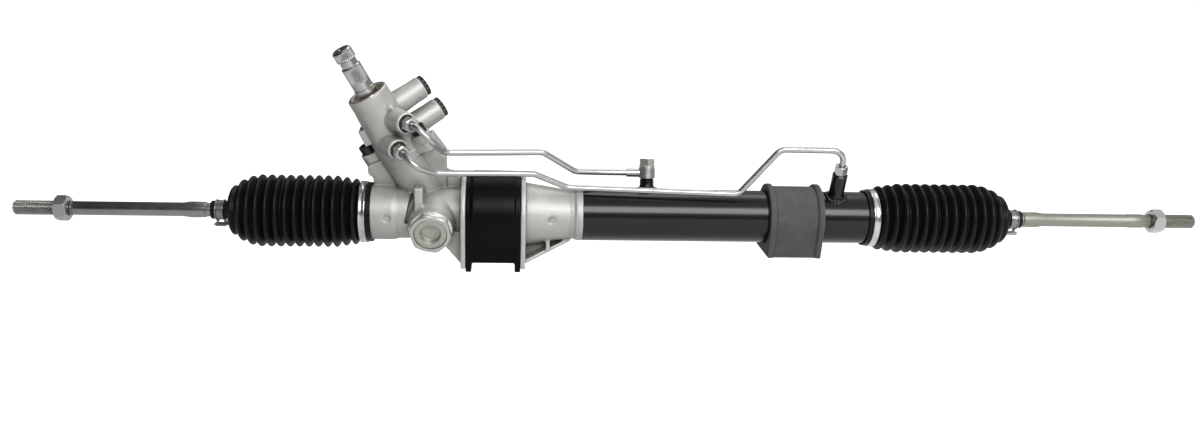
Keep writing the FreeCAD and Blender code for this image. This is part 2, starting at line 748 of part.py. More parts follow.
def rack_bar():
    bar = rod(at(rack_left), right, rack_right - rack_left, rack_r)
    pitch = math.pi * tooth_module / math.cos(rake)
    half_zone = teeth_each_way * pitch + pitch / 2
    behind = guide_dir * -1
    corner = at(pinion_x - half_zone, 0, 0) + behind * rack_tip_plane - up_face * rack_r
    along, across = right * (2 * half_zone), up_face * (2 * rack_r)
    flat = prism([corner, corner + along, corner + along + across, corner + across], behind * rack_r)
    slope = math.tan(math.radians(pressure_angle))
    cuts = [flat]
    for k in range(-teeth_each_way, teeth_each_way + 1):
        middle = at(pinion_x + k * pitch) - pinion_dir * (1.5 * rack_r)
        points = []
        for side, depth in ((-1, rack_root_plane), (1, rack_root_plane), (1, rack_r + 1), (-1, rack_r + 1)):
            half = (tooth_thickness + backlash) / 2 + (depth - rack_pitch_line) * slope
            points.append(middle + side_dir * (side * half) + behind * depth)
        cuts.append(prism(points, pinion_dir * (3 * rack_r)))
    hole = socket_thread_length + 2
    cuts.append(rod(at(rack_left - 1), right, hole + 1, socket_thread_r + seat_gap))
    cuts.append(rod(at(rack_right + 1), left, hole + 1, socket_thread_r + seat_gap))
    return bar.cut(cuts)


def piston():
    """Steel piston on the rack with a groove for its ring."""
    half = piston_length / 2
    outer = tube_bore_r - free_gap
    groove = outer - 3
    ring_half = piston_ring_width / 2 + seat_gap
    return turned(at(piston_x), right, [
        (-half, rack_r + seat_gap), (-half, outer - 1), (-half + 1, outer), (-ring_half, outer),
        (-ring_half, groove), (ring_half, groove), (ring_half, outer), (half - 1, outer), (half, outer - 1),
        (half, rack_r + seat_gap)])


def piston_ring():
    return ring(at(piston_x - piston_ring_width / 2), right, piston_ring_width,
                tube_bore_r - slide_gap, tube_bore_r - free_gap - 3 + seat_gap)


def cylinder_tube():
    tube = ring(at(tube_left + seat_gap), right, tube_right - tube_left - seat_gap, tube_r, tube_bore_r)
    ports_cut = []
    for x, angle, height, r in tube_ports:
        axis = lean_dir(angle)
        ports_cut.append(rod(at(x), axis, height, 2.5))
        boss = turned(at(x) + axis * (tube_r - 2), axis, [
            (0, 0), (0, r + 4), (3.5, r + 1), (6, r), (height - tube_r + 1, r),
            (height - tube_r + 2, r - 1), (height - tube_r + 2, 0)])
        tube = tube.fuse(boss.cut(rod(at(x - 20), right, 40, tube_bore_r)))
    tube = tube.cut(ports_cut)
    seat = lean_dir(outer_port_lean)
    return tube.cut(rod(at(outer_port_x) + seat * (outer_port_height - 6), seat, 7, pipe_r + 2.6))


def lean_dir(angle):
    """Upwards, leaning to the back by an angle in degrees."""
    return V(0, math.sin(math.radians(angle)), math.cos(math.radians(angle)))


tube_ports = ((inner_port_x, inner_port_lean, inner_port_height, inner_port_r),
              (outer_port_x, outer_port_lean, outer_port_height, outer_port_r))


def rack_seal_holder():
    start = tube_left + spigot_length + seat_gap
    return ring(at(start), right, seal_holder_length, inner_r, rack_r + slide_gap)


def cylinder_end_bush():
    start = tube_right - end_bush_length
    return turned(at(start), right, [
        (0, rack_r + slide_gap), (0, inner_r), (end_bush_length - 5, inner_r),
        (end_bush_length - 5, rack_r + 3), (end_bush_length - 8, rack_r + slide_gap)])


def snap_ring():
    return ring(at(tube_right - 5 + seat_gap), right, snap_ring_wire, inner_r, inner_r - 3)


# Rack guide

def rack_guide():
    guide = rod(at(pinion_x), guide_dir, rack_r + guide_length - 8, guide_r)
    saddle_cut = rod(at(pinion_x - guide_r - 1), right, 2 * guide_r + 2, rack_r + slide_gap)
    front = prism([at(pinion_x - 20) - up_face * 20, at(pinion_x + 20) - up_face * 20,
                   at(pinion_x + 20) + up_face * 20, at(pinion_x - 20) + up_face * 20], guide_dir * 5)
    floor = rack_r + guide_length - 8 - guide_pocket
    pocket_r = spring_r + spring_wire_r + free_gap
    pocket = rod(at(pinion_x) + guide_dir * floor, guide_dir, guide_pocket + 1, pocket_r)
    return guide.cut([saddle_cut, front, pocket])


def rack_guide_spring():
    """Coil spring between the guide and its plug, as closed rings of wire."""
    low = rack_r + guide_length - 8 - guide_pocket + spring_wire_r
    high = guide_plug_low - spring_wire_r
    coils = []
    for i in range(spring_turns):
        place = low + (high - low) * i / (spring_turns - 1)
        coils.append(Part.makeTorus(spring_r, spring_wire_r, at(pinion_x) + guide_dir * place, guide_dir))
    return Part.makeCompound(coils)


def rack_guide_plug():
    start = at(pinion_x) + guide_dir * (guide_plug_low + seat_gap)
    return turned(start, guide_dir, [
        (0, 0), (0, guide_plug_r), (guide_plug_length - 1, guide_plug_r),
        (guide_plug_length, guide_plug_r - 1), (guide_plug_length, 10), (guide_plug_length - 6, 9),
        (guide_plug_length - 6, 0)])


def rack_guide_locknut():
    start = at(pinion_x) + guide_dir * (guide_boss_length + seat_gap)
    nut = hexagon(start, guide_dir, guide_nut_thick, guide_nut_across, 15)
    return nut.cut(rod(start - guide_dir, guide_dir, guide_nut_thick + 2, guide_plug_r + seat_gap))


# Rubber bushes

def locating_bush():
    body = saddle(-bush_half, 2 * bush_half, bush_top_r, bush_base_half, axis_height)
    lip_left = saddle(-bush_outer + seat_gap, bush_lip - seat_gap, flange_r, flange_half, bush_lip_drop)
    lip_right = saddle(bush_half, bush_lip - seat_gap, flange_r, flange_half, bush_lip_drop)
    bore = rod(at(-bush_outer - 1), right, 2 * bush_outer + 2, neck_r + seat_gap)
    return body.fuse([lip_left, lip_right]).cut(bore)


def floating_bush():
    drop = floating_base_drop
    body = saddle(floating_bush_left, floating_bush_length, floating_bush_r, floating_base_half, drop)
    pieces = []
    for x in (floating_bush_left, floating_bush_left + floating_bush_length - floating_lip):
        pieces.append(saddle(x, floating_lip, floating_lip_r, floating_base_half + 2, drop))
    bore = rod(at(floating_bush_left - 1), right, floating_bush_length + 2, tube_r + seat_gap)
    return body.fuse(pieces).cut(bore)


# Bellows, clamps and clips

def bellows(start_x, end_x, cuff_length, seat_r, direction):
    """Corrugated boot from its cuff on the housing to its neck on the tie rod."""
    length = abs(end_x - start_x)
    pitch = (length - cuff_length - 4) / bellows_crests
    cuff_r = seat_r + seat_gap + cuff_wall
    rise = bellows_crest_r - 17
    outline = [(0, seat_r + seat_gap), (0, cuff_r), (cuff_length, cuff_r)]
    for i in range(bellows_crests):
        a = cuff_length + 2 + i * pitch
        crest = min(bellows_crest_r, 17 + rise * math.sqrt((bellows_crests - i - 0.2) / 3))
        valley = min(bellows_valley_r, crest - 5)
        if i:
            outline.append((a, valley))
        outline.append((a + pitch * 0.36, crest))
        outline.append((a + pitch * 0.64, crest))
    neck_r_out = rod_r + free_gap + neck_wall
    valley_inside = bellows_valley_r - bellows_wall
    outline += [(length, neck_r_out + 3), (length + 1, neck_r_out), (length + neck_length, neck_r_out),
                (length + neck_length, rod_r + free_gap), (length - 2, rod_r + free_gap), (length - 4, 12),
                (length - 2 * pitch, bellows_valley_r - 6), (length - 3 * pitch, valley_inside),
                (cuff_length + 4, valley_inside), (cuff_length, seat_r + seat_gap)]
    return turned(at(start_x), direction, outline)


def band(x, cuff_length, seat_r, direction):
    """Stainless band round a bellows cuff, with its pinched ear at the lower front."""
    r = seat_r + cuff_wall + 2 * seat_gap
    x = x + direction.x * (cuff_length - band_width - 0.5)
    start = x if direction.x > 0 else x - band_width
    hoop = ring(at(start), right, band_width, r + band_thick, r)
    ear = prism([at(start, -4, -r - band_thick + 0.5), at(start, 4, -r - band_thick + 0.5),
                 at(start, 2.5, -r - 5), at(start, -2.5, -r - 5)], right * band_width)
    ear.rotate(at(0), right, 38)
    return hoop.fuse(ear)


def clip(x, direction):
    """Spring clip round the neck of the bellows."""
    r = rod_r + free_gap + neck_wall + free_gap
    hoop = ring(at(x), direction, clip_width, r + clip_thick, r)
    tails = []
    for side in (-1, 1):
        tail = prism([at(x, side * 1.0, -r - 0.5), at(x, side * 2.6, -r - 0.5), at(x, side * 5.6, -r - 6),
                      at(x, side * 4.0, -r - 6)], direction * (clip_width * 0.4))
        tails.append(tail)
    return hoop.fuse(tails)


# Inner ball joints and tie rods

def ball_socket(end_x, ball, outward):
    """Socket screwed into the rack end, closed over the ball seat by a rolled lip."""
    start = V(end_x, 0, axis_height) + outward * (washer_thick + 2 * seat_gap)
    gap = (ball - start).Length
    lip = cavity_r * math.cos(math.radians(lip_opening))
    end = gap + lip + 2
    body = turned(start, outward, [
        (0, 0), (0, socket_r - 1), (1, socket_r), (gap + 5, socket_r), (end, socket_r - 3.5), (end, 0)])
    stem_length = socket_thread_length + washer_thick
    stem = rod(start, outward * -1, stem_length, socket_thread_r)
    cavity = Part.makeSphere(cavity_r, ball)
    mouth_r = cavity_r * math.sin(math.radians(lip_opening))
    mouth = turned(ball, outward, [(0, 0), (lip - 1, mouth_r), (lip + 6, mouth_r + 5), (lip + 6, 0)])
    flats = []
    for side in (-1, 1):
        corner = start + outward * 3 + V(0, side * 15.5, -socket_r)
        flats.append(prism([corner, corner + outward * 9, corner + outward * 9 + V(0, 0, 2 * socket_r),
                            corner + V(0, 0, 2 * socket_r)], V(0, side * 4, 0)))
    return body.fuse(stem).cut([cavity, mouth] + flats)


def lock_washer(end_x, outward):
    start = V(end_x, 0, axis_height) + outward * seat_gap
    return ring(start, outward, washer_thick, socket_r - 1, socket_thread_r + seat_gap)


def ball_seat(ball, outward):
    """Plastic shell between ball and socket, open towards the rod."""
    shell = Part.makeSphere(cavity_r - slide_gap, ball).cut(Part.makeSphere(ball_r + slide_gap, ball))
    reach = cavity_r + 1
    half = math.radians(seat_opening)
    opening = turned(ball, outward, [
        (0, 0), (reach * math.cos(half), reach * math.sin(half)), (reach, reach), (reach, 0)])
    return shell.cut(opening)


def tie_rod(ball, length, thread, shown, outward):
    """Ball, neck and rod in one piece; under the jam nut the thread is drawn at its pitch radius."""
    nut_far = length - shown + free_gap
    nut_near = length - shown - jam_nut_thick - free_gap
    stem = turned(ball, outward, [
        (0, 0), (0, rod_neck_r), (ball_r + rod_neck_length, rod_neck_r),
        (ball_r + rod_neck_length + 4, rod_r), (length - thread, rod_r), (length - thread, thread_r),
        (nut_near, thread_r), (nut_near, thread_pitch_r), (nut_far, thread_pitch_r), (nut_far, thread_r),
        (length - 1.5, thread_r), (length, thread_r - 1.5), (length, 0)])
    return stem.fuse(Part.makeSphere(ball_r, ball))


def jam_nut(x):
    nut = hexagon(at(x), right, jam_nut_thick, jam_nut_across)
    return nut.cut(rod(at(x - 1), right, jam_nut_thick + 2, thread_pitch_r + slide_gap))


# Pipes

upper_face = nut_bosses["upper"][0] + nut_bosses["upper"][1] * nut_boss_length
lower_face = nut_bosses["lower"][0] + nut_bosses["lower"][1] * nut_boss_length
short_route = [at(-57.0, -58.0, 82.0), at(-46.0, -36.0, 67.0), at(47.0, -15.0, 65.0), at(79.3, 0.0, 43.4)]
long_route = [at(-71.0, -58.0, 57.0), at(-54.4, -42.0, 48.4), at(38.5, -22.0, 44.9),
              at(72.3, -12.0, 29.6), at(239.4, -20.5, 27.2), at(279.0, -20.0, 72.5)]


def flare_nut(face, direction):
    start = face - direction * nut_sunk
    nut = hexagon(start, direction, nut_length, nut_across)
    return nut.cut(rod(start - direction, direction, nut_length + 2, pipe_r + seat_gap))


def short_pipe():
    """Pipe from the upper valve port to the banjo on the inner cylinder port."""
    direction = nut_bosses["upper"][1]
    axis = lean_dir(inner_port_lean)
    eye = at(inner_port_x) + axis * (inner_port_height + washer_thick + banjo_height / 2 + 2 * seat_gap)
    start = upper_face - direction * boss_recess_depth
    end = eye + left * (banjo_r - 1)
    route = [start, upper_face + direction * (nut_length + 3)] + short_route + [end + left * 40, end]
    return bent_tube(route, pipe_bend_r, pipe_r)


def long_pipe():
    """Pipe from the lower valve port to the outer cylinder port."""
    direction = nut_bosses["lower"][1]
    axis = lean_dir(outer_port_lean)
    seat = at(outer_port_x) + axis * (outer_port_height - 6 + seat_gap)
    start = lower_face - direction * boss_recess_depth
    corner = at(outer_port_x) + axis * 79.0
    route = [start, lower_face + direction * (nut_length + 3)] + long_route + [corner, seat]
    return bent_tube(route, pipe_bend_r, pipe_r)


def outer_flare_nut():
    axis = lean_dir(outer_port_lean)
    start = at(outer_port_x) + axis * (outer_port_height + seat_gap)
    nut = hexagon(start, axis, outer_nut_length, outer_nut_across)
    return nut.cut(rod(start - axis, axis, outer_nut_length + 2, pipe_r + seat_gap))


def banjo_eye():
    axis = lean_dir(inner_port_lean)
    start = at(inner_port_x) + axis * (inner_port_height + washer_thick + 2 * seat_gap)
    eye = ring(start, axis, banjo_height, banjo_r, 4.0 + seat_gap)
    middle = start + axis * (banjo_height / 2)
    sleeve = rod(middle + left * (banjo_r - 2), left, 14, 4.2)
    bore = rod(middle + left * (banjo_r - 1.5), left, 20, pipe_r + seat_gap)
    return eye.fuse(sleeve.cut(rod(start, axis, banjo_height, banjo_r - 1))).cut(bore)


def banjo_bolt():
    axis = lean_dir(inner_port_lean)
    seat = inner_port_height + 2 * washer_thick + banjo_height + 4 * seat_gap
    head = hexagon(at(inner_port_x) + axis * seat, axis, banjo_head_height, banjo_head_across)
    flange = rod(at(inner_port_x) + axis * seat, axis, 1.6, banjo_head_across / 2 + 1)
    stem_low = inner_port_height + seat_gap
    stem = rod(at(inner_port_x) + axis * stem_low, axis, seat - inner_port_height, 4.0)
    return head.fuse([flange, stem])


def banjo_washers():
    axis = lean_dir(inner_port_lean)
    low = inner_port_height + seat_gap
    high = inner_port_height + washer_thick + banjo_height + 3 * seat_gap
    return Part.makeCompound([
        ring(at(inner_port_x) + axis * h, axis, washer_thick, banjo_r - 1, 4.0 + seat_gap)
        for h in (low, high)])


keep("gear_housing", gear_housing())
keep("valve_housing", valve_housing())
keep("valve_housing_bolts", valve_housing_bolts())
keep("pressure_port_cap", port_cap(*ports["pressure"]))
keep("return_port_cap", port_cap(*ports["return"]))
keep("pinion_end_cap", pinion_end_cap())
keep("pinion_lower_bearing", shaft_bearing(
    lower_bearing_low, lower_bearing_length, lower_bearing_r, pinion_lower_r))
keep("pinion_upper_bearing", shaft_bearing(
    upper_bearing_low, upper_bearing_length, upper_bearing_r, pinion_upper_r))
keep("input_shaft_bearing", shaft_bearing(
    input_bearing_low, input_bearing_length, valve_bore_r - seat_gap, input_r))
keep("input_shaft_seal", input_seal())
keep("pinion_shaft", pinion_shaft())
keep("pinion_pin", drive_pin(torsion_low + torsion_head / 2, pinion_upper_r))
keep("torsion_bar", torsion_bar())
keep("sleeve_hub", sleeve_hub())
keep("valve_sleeve", valve_sleeve())
keep("valve_sleeve_rings", sleeve_rings())
keep("input_shaft", input_shaft())
keep("input_shaft_pin", drive_pin(torsion_high - torsion_head / 2, stub_r))
keep("rack_guide", rack_guide())
keep("rack_guide_spring", rack_guide_spring())
keep("rack_guide_plug", rack_guide_plug())
keep("rack_guide_locknut", rack_guide_locknut())
keep("rack_bar", rack_bar())
keep("piston", piston())
keep("piston_ring", piston_ring())
keep("cylinder_tube", cylinder_tube())
keep("rack_seal_holder", rack_seal_holder())
keep("cylinder_end_bush", cylinder_end_bush())
keep("cylinder_snap_ring", snap_ring())
keep("locating_bush", locating_bush())
keep("floating_bush", floating_bush())
keep("upper_flare_nut", flare_nut(upper_face, nut_bosses["upper"][1]))
keep("lower_flare_nut", flare_nut(lower_face, nut_bosses["lower"][1]))
keep("outer_flare_nut", outer_flare_nut())
keep("short_pipe", short_pipe())
keep("long_pipe", long_pipe())
keep("banjo_eye", banjo_eye())
keep("banjo_bolt", banjo_bolt())
keep("banjo_washers", banjo_washers())
keep("left_bellows", bellows(barrel_left + left_cuff, left_bellows_end, left_cuff, barrel_r, left))
keep("right_bellows", bellows(right_bellows_start, right_bellows_end, right_cuff, tube_r, right))
keep("left_bellows_band", band(barrel_left + left_cuff, left_cuff, barrel_r, left))
keep("right_bellows_band", band(right_bellows_start, right_cuff, tube_r, right))
keep("left_bellows_clip", clip(left_bellows_end - clip_gap, left))
keep("right_bellows_clip", clip(right_bellows_end + clip_gap, right))
keep("left_lock_washer", lock_washer(rack_left, left))
keep("right_lock_washer", lock_washer(rack_right, right))
keep("left_ball_socket", ball_socket(rack_left, left_ball, left))
keep("right_ball_socket", ball_socket(rack_right, right_ball, right))
keep("left_ball_seat", ball_seat(left_ball, left))
keep("right_ball_seat", ball_seat(right_ball, right))
keep("left_tie_rod", tie_rod(left_ball, left_rod_length, left_thread, left_thread_shown, left))
keep("right_tie_rod", tie_rod(right_ball, right_rod_length, right_thread, right_thread_shown, right))
keep("left_jam_nut", jam_nut(left_nut_x))
keep("right_jam_nut", jam_nut(right_nut_x))
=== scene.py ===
import json
import math

import bmesh
import bpy
from mathutils import Matrix, Vector
from mathutils.bvhtree import BVHTree

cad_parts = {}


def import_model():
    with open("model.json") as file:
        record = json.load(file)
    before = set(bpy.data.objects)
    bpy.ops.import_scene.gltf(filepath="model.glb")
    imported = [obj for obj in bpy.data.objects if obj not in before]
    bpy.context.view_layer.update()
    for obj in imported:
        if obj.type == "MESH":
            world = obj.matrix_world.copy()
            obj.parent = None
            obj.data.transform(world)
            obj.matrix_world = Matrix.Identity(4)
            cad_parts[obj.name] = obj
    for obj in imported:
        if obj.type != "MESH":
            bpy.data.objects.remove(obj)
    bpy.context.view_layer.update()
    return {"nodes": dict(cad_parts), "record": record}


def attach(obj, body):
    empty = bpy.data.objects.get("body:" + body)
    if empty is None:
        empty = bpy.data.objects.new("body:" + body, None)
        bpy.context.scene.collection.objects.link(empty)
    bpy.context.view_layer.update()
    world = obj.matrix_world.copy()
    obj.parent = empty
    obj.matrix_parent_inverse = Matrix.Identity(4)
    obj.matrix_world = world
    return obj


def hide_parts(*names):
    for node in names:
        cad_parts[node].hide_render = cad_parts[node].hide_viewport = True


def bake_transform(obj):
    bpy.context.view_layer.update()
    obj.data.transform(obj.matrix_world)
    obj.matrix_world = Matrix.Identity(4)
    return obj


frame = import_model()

NODES = frame["nodes"]
BODY_OF = {node: body for body, nodes in frame["record"]["behaviour"]["bodies"].items()
           for node in nodes}
MM = 0.001
TAU = 2 * math.pi

# Stations of the steering gear in millimetres; heights count from the rack axis
AXIS_HEIGHT = 41.0
BARREL_LEFT = -130.0
BARREL_R = 27.0
TUBE_R = 26.0
SEAT_GAP = 0.05
CUFF_WALL = 2.2
LEFT_CUFF = 12.0
RIGHT_CUFF = 11.0
LEFT_BELLOWS_END = -256.6
RIGHT_BELLOWS_START = 372.3
RIGHT_BELLOWS_END = 521.4
CRESTS = 14
BELLOWS_WALL = 1.4
NECK_LENGTH = 16.5
LEFT_BALL = -232.0
RIGHT_BALL = 494.0
BALL_R = 11.0
BALL_NECK_R = 5.5
ROD_R = 6.75
THREAD_R = 7.0
THREAD_PITCH = 1.5
THREAD_CORE_R = 6.45
LEFT_TIP = -458.4
LEFT_THREAD = 52.5
LEFT_NUT = -419.5
RIGHT_TIP = 723.9
RIGHT_THREAD = 48.0
RIGHT_NUT = 677.5
NUT_THICK = 12.0
NUT_ACROSS = 22.0
BAND_WIDTH = 6.5
CLIP_WIDTH = 8.5
CLIP_GAP = 4.0
CLIP_R = 9.6
WIRE_R = 0.85
JAM_BORE = 6.6
PIPE_R = 3.0
PIPE_BEND = 12.0
PIPE_IN_NUT = 4.5
PIPE_STRAIGHT = 17.0
FLARE_BORE = 3.1
FLARE_NUT_ACROSS = 13.0
FLARE_NUT_THICK = 14.0
FLARE_NUT_SUNK = 4.0
OUTER_NUT_ACROSS = 11.0
OUTER_NUT_THICK = 9.5
OUTER_PIPE_SUNK = 5.9
BANJO_WASHER = 1.0
BANJO_EYE_HALF = 4.5
BANJO_EYE_R = 7.5

# The pinion axis: crossing point, tilt to the front and rake to the left
PINION_X = -59.4
CENTRE_DISTANCE = 15.65
PINION_TILT = math.radians(15.0)
PINION_RAKE = math.radians(26.8)
RIM_T = 134.0
INPUT_T = 74.3
INPUT_STUB = 47.0
INPUT_R = 10.0
STUB_R = 9.5
STUB_SHOULDER = RIM_T + 6
STUB_TEETH = 36
STUB_PLAIN = 12.0
STUB_TIP = 1.5
CLAMP_GROOVE = 8.0
CLAMP_GROOVE_TO_END = 18.0
GUIDE_FACE = 38.0

RIGHT = Vector((1, 0, 0))
LEFT = Vector((-1, 0, 0))
UP = Vector((0, 0, 1))
UP_FACE = Vector((0, -math.sin(PINION_TILT), math.cos(PINION_TILT)))
GUIDE_DIR = Vector((0, -math.cos(PINION_TILT), -math.sin(PINION_TILT)))
PINION_DIR = UP_FACE * math.cos(PINION_RAKE) - RIGHT * math.sin(PINION_RAKE)
SIDE_DIR = RIGHT * math.cos(PINION_RAKE) + UP_FACE * math.sin(PINION_RAKE)


def at(x, y=0.0, z=0.0):
    """Point x along the rack, y behind its axis and z above it, in metres."""
    return Vector((x, y, AXIS_HEIGHT + z)) * MM


def on_pinion(t, side=0.0):
    """Point t up the pinion axis from the rack, and side to its right, in metres."""
    base = Vector((PINION_X, 0, AXIS_HEIGHT)) - GUIDE_DIR * CENTRE_DISTANCE
    return (base + PINION_DIR * t + SIDE_DIR * side) * MM


def aim(swing, dip):
    """Direction to the front, swung to the right and dipped, in degrees."""
    s, d = math.radians(swing), math.radians(dip)
    return Vector((math.sin(s) * math.cos(d), -math.cos(s) * math.cos(d), -math.sin(d)))


def lean_dir(angle):
    """Upward direction that leans back by an angle in degrees."""
    return Vector((0, math.sin(math.radians(angle)), math.cos(math.radians(angle))))


# Hose ports (where on the pinion axis, how long), bosses of the flare nuts (start and direction)
# and ports on the tube (x, lean back, height of the face)
PORT_LEAN = math.radians(30.0)
PORT_DIR = SIDE_DIR * math.cos(PORT_LEAN) - GUIDE_DIR * math.sin(PORT_LEAN)
PRESSURE_PORT = (on_pinion(109.0), 49.0)
RETURN_PORT = (on_pinion(81.5), 53.0)
NUT_BOSS_LENGTH = 38.0
UPPER_BOSS = (on_pinion(103.9, 5.2), aim(35.0, 2.0))
LOWER_BOSS = (on_pinion(86.3, -8.5), aim(28.0, 9.0))
UPPER_FACE, LOWER_FACE = (start + direction * (NUT_BOSS_LENGTH * MM)
                          for start, direction in (UPPER_BOSS, LOWER_BOSS))
INNER_PORT = (151.6, 11.6, 36.5)
OUTER_PORT = (340.5, -21.0, 52.5)


# Node trees of materials and shapes

def with_settings(made, settings):
    """Sets the attributes of something new and returns it."""
    for key, value in settings.items():
        setattr(made, key, value)
    return made


class Wiring:
    """Strings nodes together in one tree; a source is a socket to link or a plain value."""

    def __init__(self, tree):
        self.tree = tree

    def __getitem__(self, label):
        return self.input.outputs[label]

    def link(self, source, target):
        if hasattr(source, "is_output"):
            self.tree.links.new(source, target)
        else:
            target.default_value = source

    def fill(self, node, inputs):
        """Links or sets a node's inputs by name or number."""
        for key, source in inputs.items():
            self.link(source, node.inputs[key])
        return node

    def node(self, kind, inputs=(), **settings):
        """New node with its settings and inputs."""
        return self.fill(with_settings(self.tree.nodes.new(kind), settings), dict(inputs))

    def math(self, operation, *sources):
        return self.node("ShaderNodeMath", dict(enumerate(sources)), operation=operation).outputs[0]

    def ramp(self, value, low, high, dim=0.0, bright=1.0, **settings):
        """The value mapped from low..high to dim..bright, and kept between them."""
        made = self.node("ShaderNodeMapRange", {
            "Value": value, "From Min": low, "From Max": high, "To Min": dim, "To Max": bright},
            **settings)
        return made.outputs["Result"]

    def scaled(self, colour, share):
        """The colour times a number."""
        made = self.node("ShaderNodeVectorMath", {0: colour, "Scale": share}, operation="SCALE")
        return made.outputs[0]

    def split(self, vector):
        """Outputs X, Y and Z of a vector."""
        return self.node("ShaderNodeSeparateXYZ", {0: vector}).outputs

    def pick(self, condition, if_true, if_false):
        """if_true where condition is 1, else if_false."""
        gap = self.math("SUBTRACT", if_true, if_false)
        return self.math("MULTIPLY_ADD", gap, condition, if_false)


def node_group(name, tree_kind, inputs, outputs):
    """Wiring of a new group with its sockets, and with the nodes at its two ends."""
    made = Wiring(bpy.data.node_groups.new(name, tree_kind))
    made.sockets = {}
    for in_out, rows in (("INPUT", inputs), ("OUTPUT", outputs)):
        for label, kind, value in rows:
            socket = made.tree.interface.new_socket(
                name=label, in_out=in_out, socket_type="NodeSocket" + kind)
            if value is not None:
                socket.default_value = value
            if in_out == "INPUT":
                made.sockets[label] = socket.identifier
    made.input = made.tree.nodes.new("NodeGroupInput")
    made.output = made.tree.nodes.new("NodeGroupOutput")
    return made


def surface_grain_group():
    """Fine bump and mottled colour, as on a casting, paint film or moulded rubber."""
    group = node_group(
        "surface grain", "ShaderNodeTree",
        [("Grain Size", "Float", 0.001), ("Mottle Size", "Float", 0.02),
         ("Colour", "Color", (0.5, 0.5, 0.5, 1)), ("Mottle", "Float", 0.2),
         ("Roughness", "Float", 0.5), ("Roughness Spread", "Float", 0.1)],
        [("Colour", "Color", None), ("Roughness", "Float", None), ("Height", "Float", None)])
    place = group.node("ShaderNodeTexCoord").outputs["Object"]
    grain, mottle = (
        group.node("ShaderNodeTexNoise", {
            "Detail": detail, "Roughness": 0.6, "Vector": place,
            "Scale": group.math("DIVIDE", 1.0, group[size])}).outputs["Fac"]
        for size, detail in (("Grain Size", 3.0), ("Mottle Size", 5.0)))
    centred = group.math("SUBTRACT", mottle, 0.5)
    strength = group.math("MULTIPLY_ADD", centred, group["Mottle"], 1.0)
    group.fill(group.output, {
        "Colour": group.scaled(group["Colour"], strength), "Height": grain,
        "Roughness": group.math("MULTIPLY_ADD", centred, group["Roughness Spread"],
                                group["Roughness"])})
    return group.tree


def shade_and_wear_group():
    """Painted shade in pockets and creases, and lighter edge wear on ridges, from the piece's own
    form.
    """
    group = node_group(
        "worn edges", "ShaderNodeTree",
        [("Colour", "Color", (0.5, 0.5, 0.5, 1)), ("Crease Shade", "Float", 0.4),
         ("Ridge", "Float", 0.2), ("Pocket Shade", "Float", 0.5)],
        [("Colour", "Color", None)])
    # Painted shade: the colour darkens in pockets and recesses that ambient occlusion finds.
    pocket = group.node("ShaderNodeAmbientOcclusion", {"Distance": 14 * MM},
                        only_local=True, samples=8)
    closed_in = group.ramp(pocket.outputs["AO"], 0.95, 0.25)
    after_pocket_shade = group.math("SUBTRACT", 1.0, group.math("MULTIPLY", closed_in, group["Pocket Shade"]))
    # Painted shade in creases, from pointiness; sharp ridges get lighter, as edge wear.
    bend = group.node("ShaderNodeNewGeometry").outputs["Pointiness"]
    crease_shade = group.math("MULTIPLY", group.ramp(bend, 0.5, 0.44), group["Crease Shade"])
    ridge = group.math("MULTIPLY", group.ramp(bend, 0.51, 0.58), group["Ridge"])
    shaded_and_worn = group.math("ADD", group.math("SUBTRACT", 1.0, crease_shade), ridge)
    share = group.math("MULTIPLY", shaded_and_worn, after_pocket_shade)
    group.fill(group.output, {"Colour": group.scaled(group["Colour"], share)})
    return group.tree


GRAIN = surface_grain_group()
SHADE_AND_WEAR = shade_and_wear_group()


def finish_material(name, colour, roughness, metallic=0.0, grain=1.0, mottle_size=15.0,
                    mottle=0.25, spread=0.15, bump=0.1, depth=0.1, specular=0.5,
                    crease_shade=0.0, ridge=0.0, pocket_shade=0.0):
    """Principled material with grain and mottle; sizes and depth are in millimetres."""
    material = bpy.data.materials.new(name)
    material.use_nodes = True
    wires = Wiring(material.node_tree)
    grained = wires.node("ShaderNodeGroup", {
        "Grain Size": grain * MM, "Mottle Size": mottle_size * MM, "Colour": (*colour, 1),
        "Mottle": mottle, "Roughness": roughness, "Roughness Spread": spread},
        node_tree=GRAIN).outputs
    base = grained["Colour"]
    # Painted shade in pockets and creases, and lighter edge wear on ridges, for the materials that
    # ask for it.
    if crease_shade or ridge or pocket_shade:
        base = wires.node("ShaderNodeGroup", {
            "Colour": base, "Crease Shade": crease_shade, "Ridge": ridge, "Pocket Shade": pocket_shade},
            node_tree=SHADE_AND_WEAR).outputs["Colour"]
    relief = wires.node("ShaderNodeBump", {
        "Strength": bump, "Distance": depth * MM, "Height": grained["Height"]})
    wires.fill(wires.tree.nodes["Principled BSDF"], {
        "Metallic": metallic, "Specular IOR Level": specular, "Base Color": base,
        "Roughness": grained["Roughness"], "Normal": relief.outputs["Normal"]})
    return material


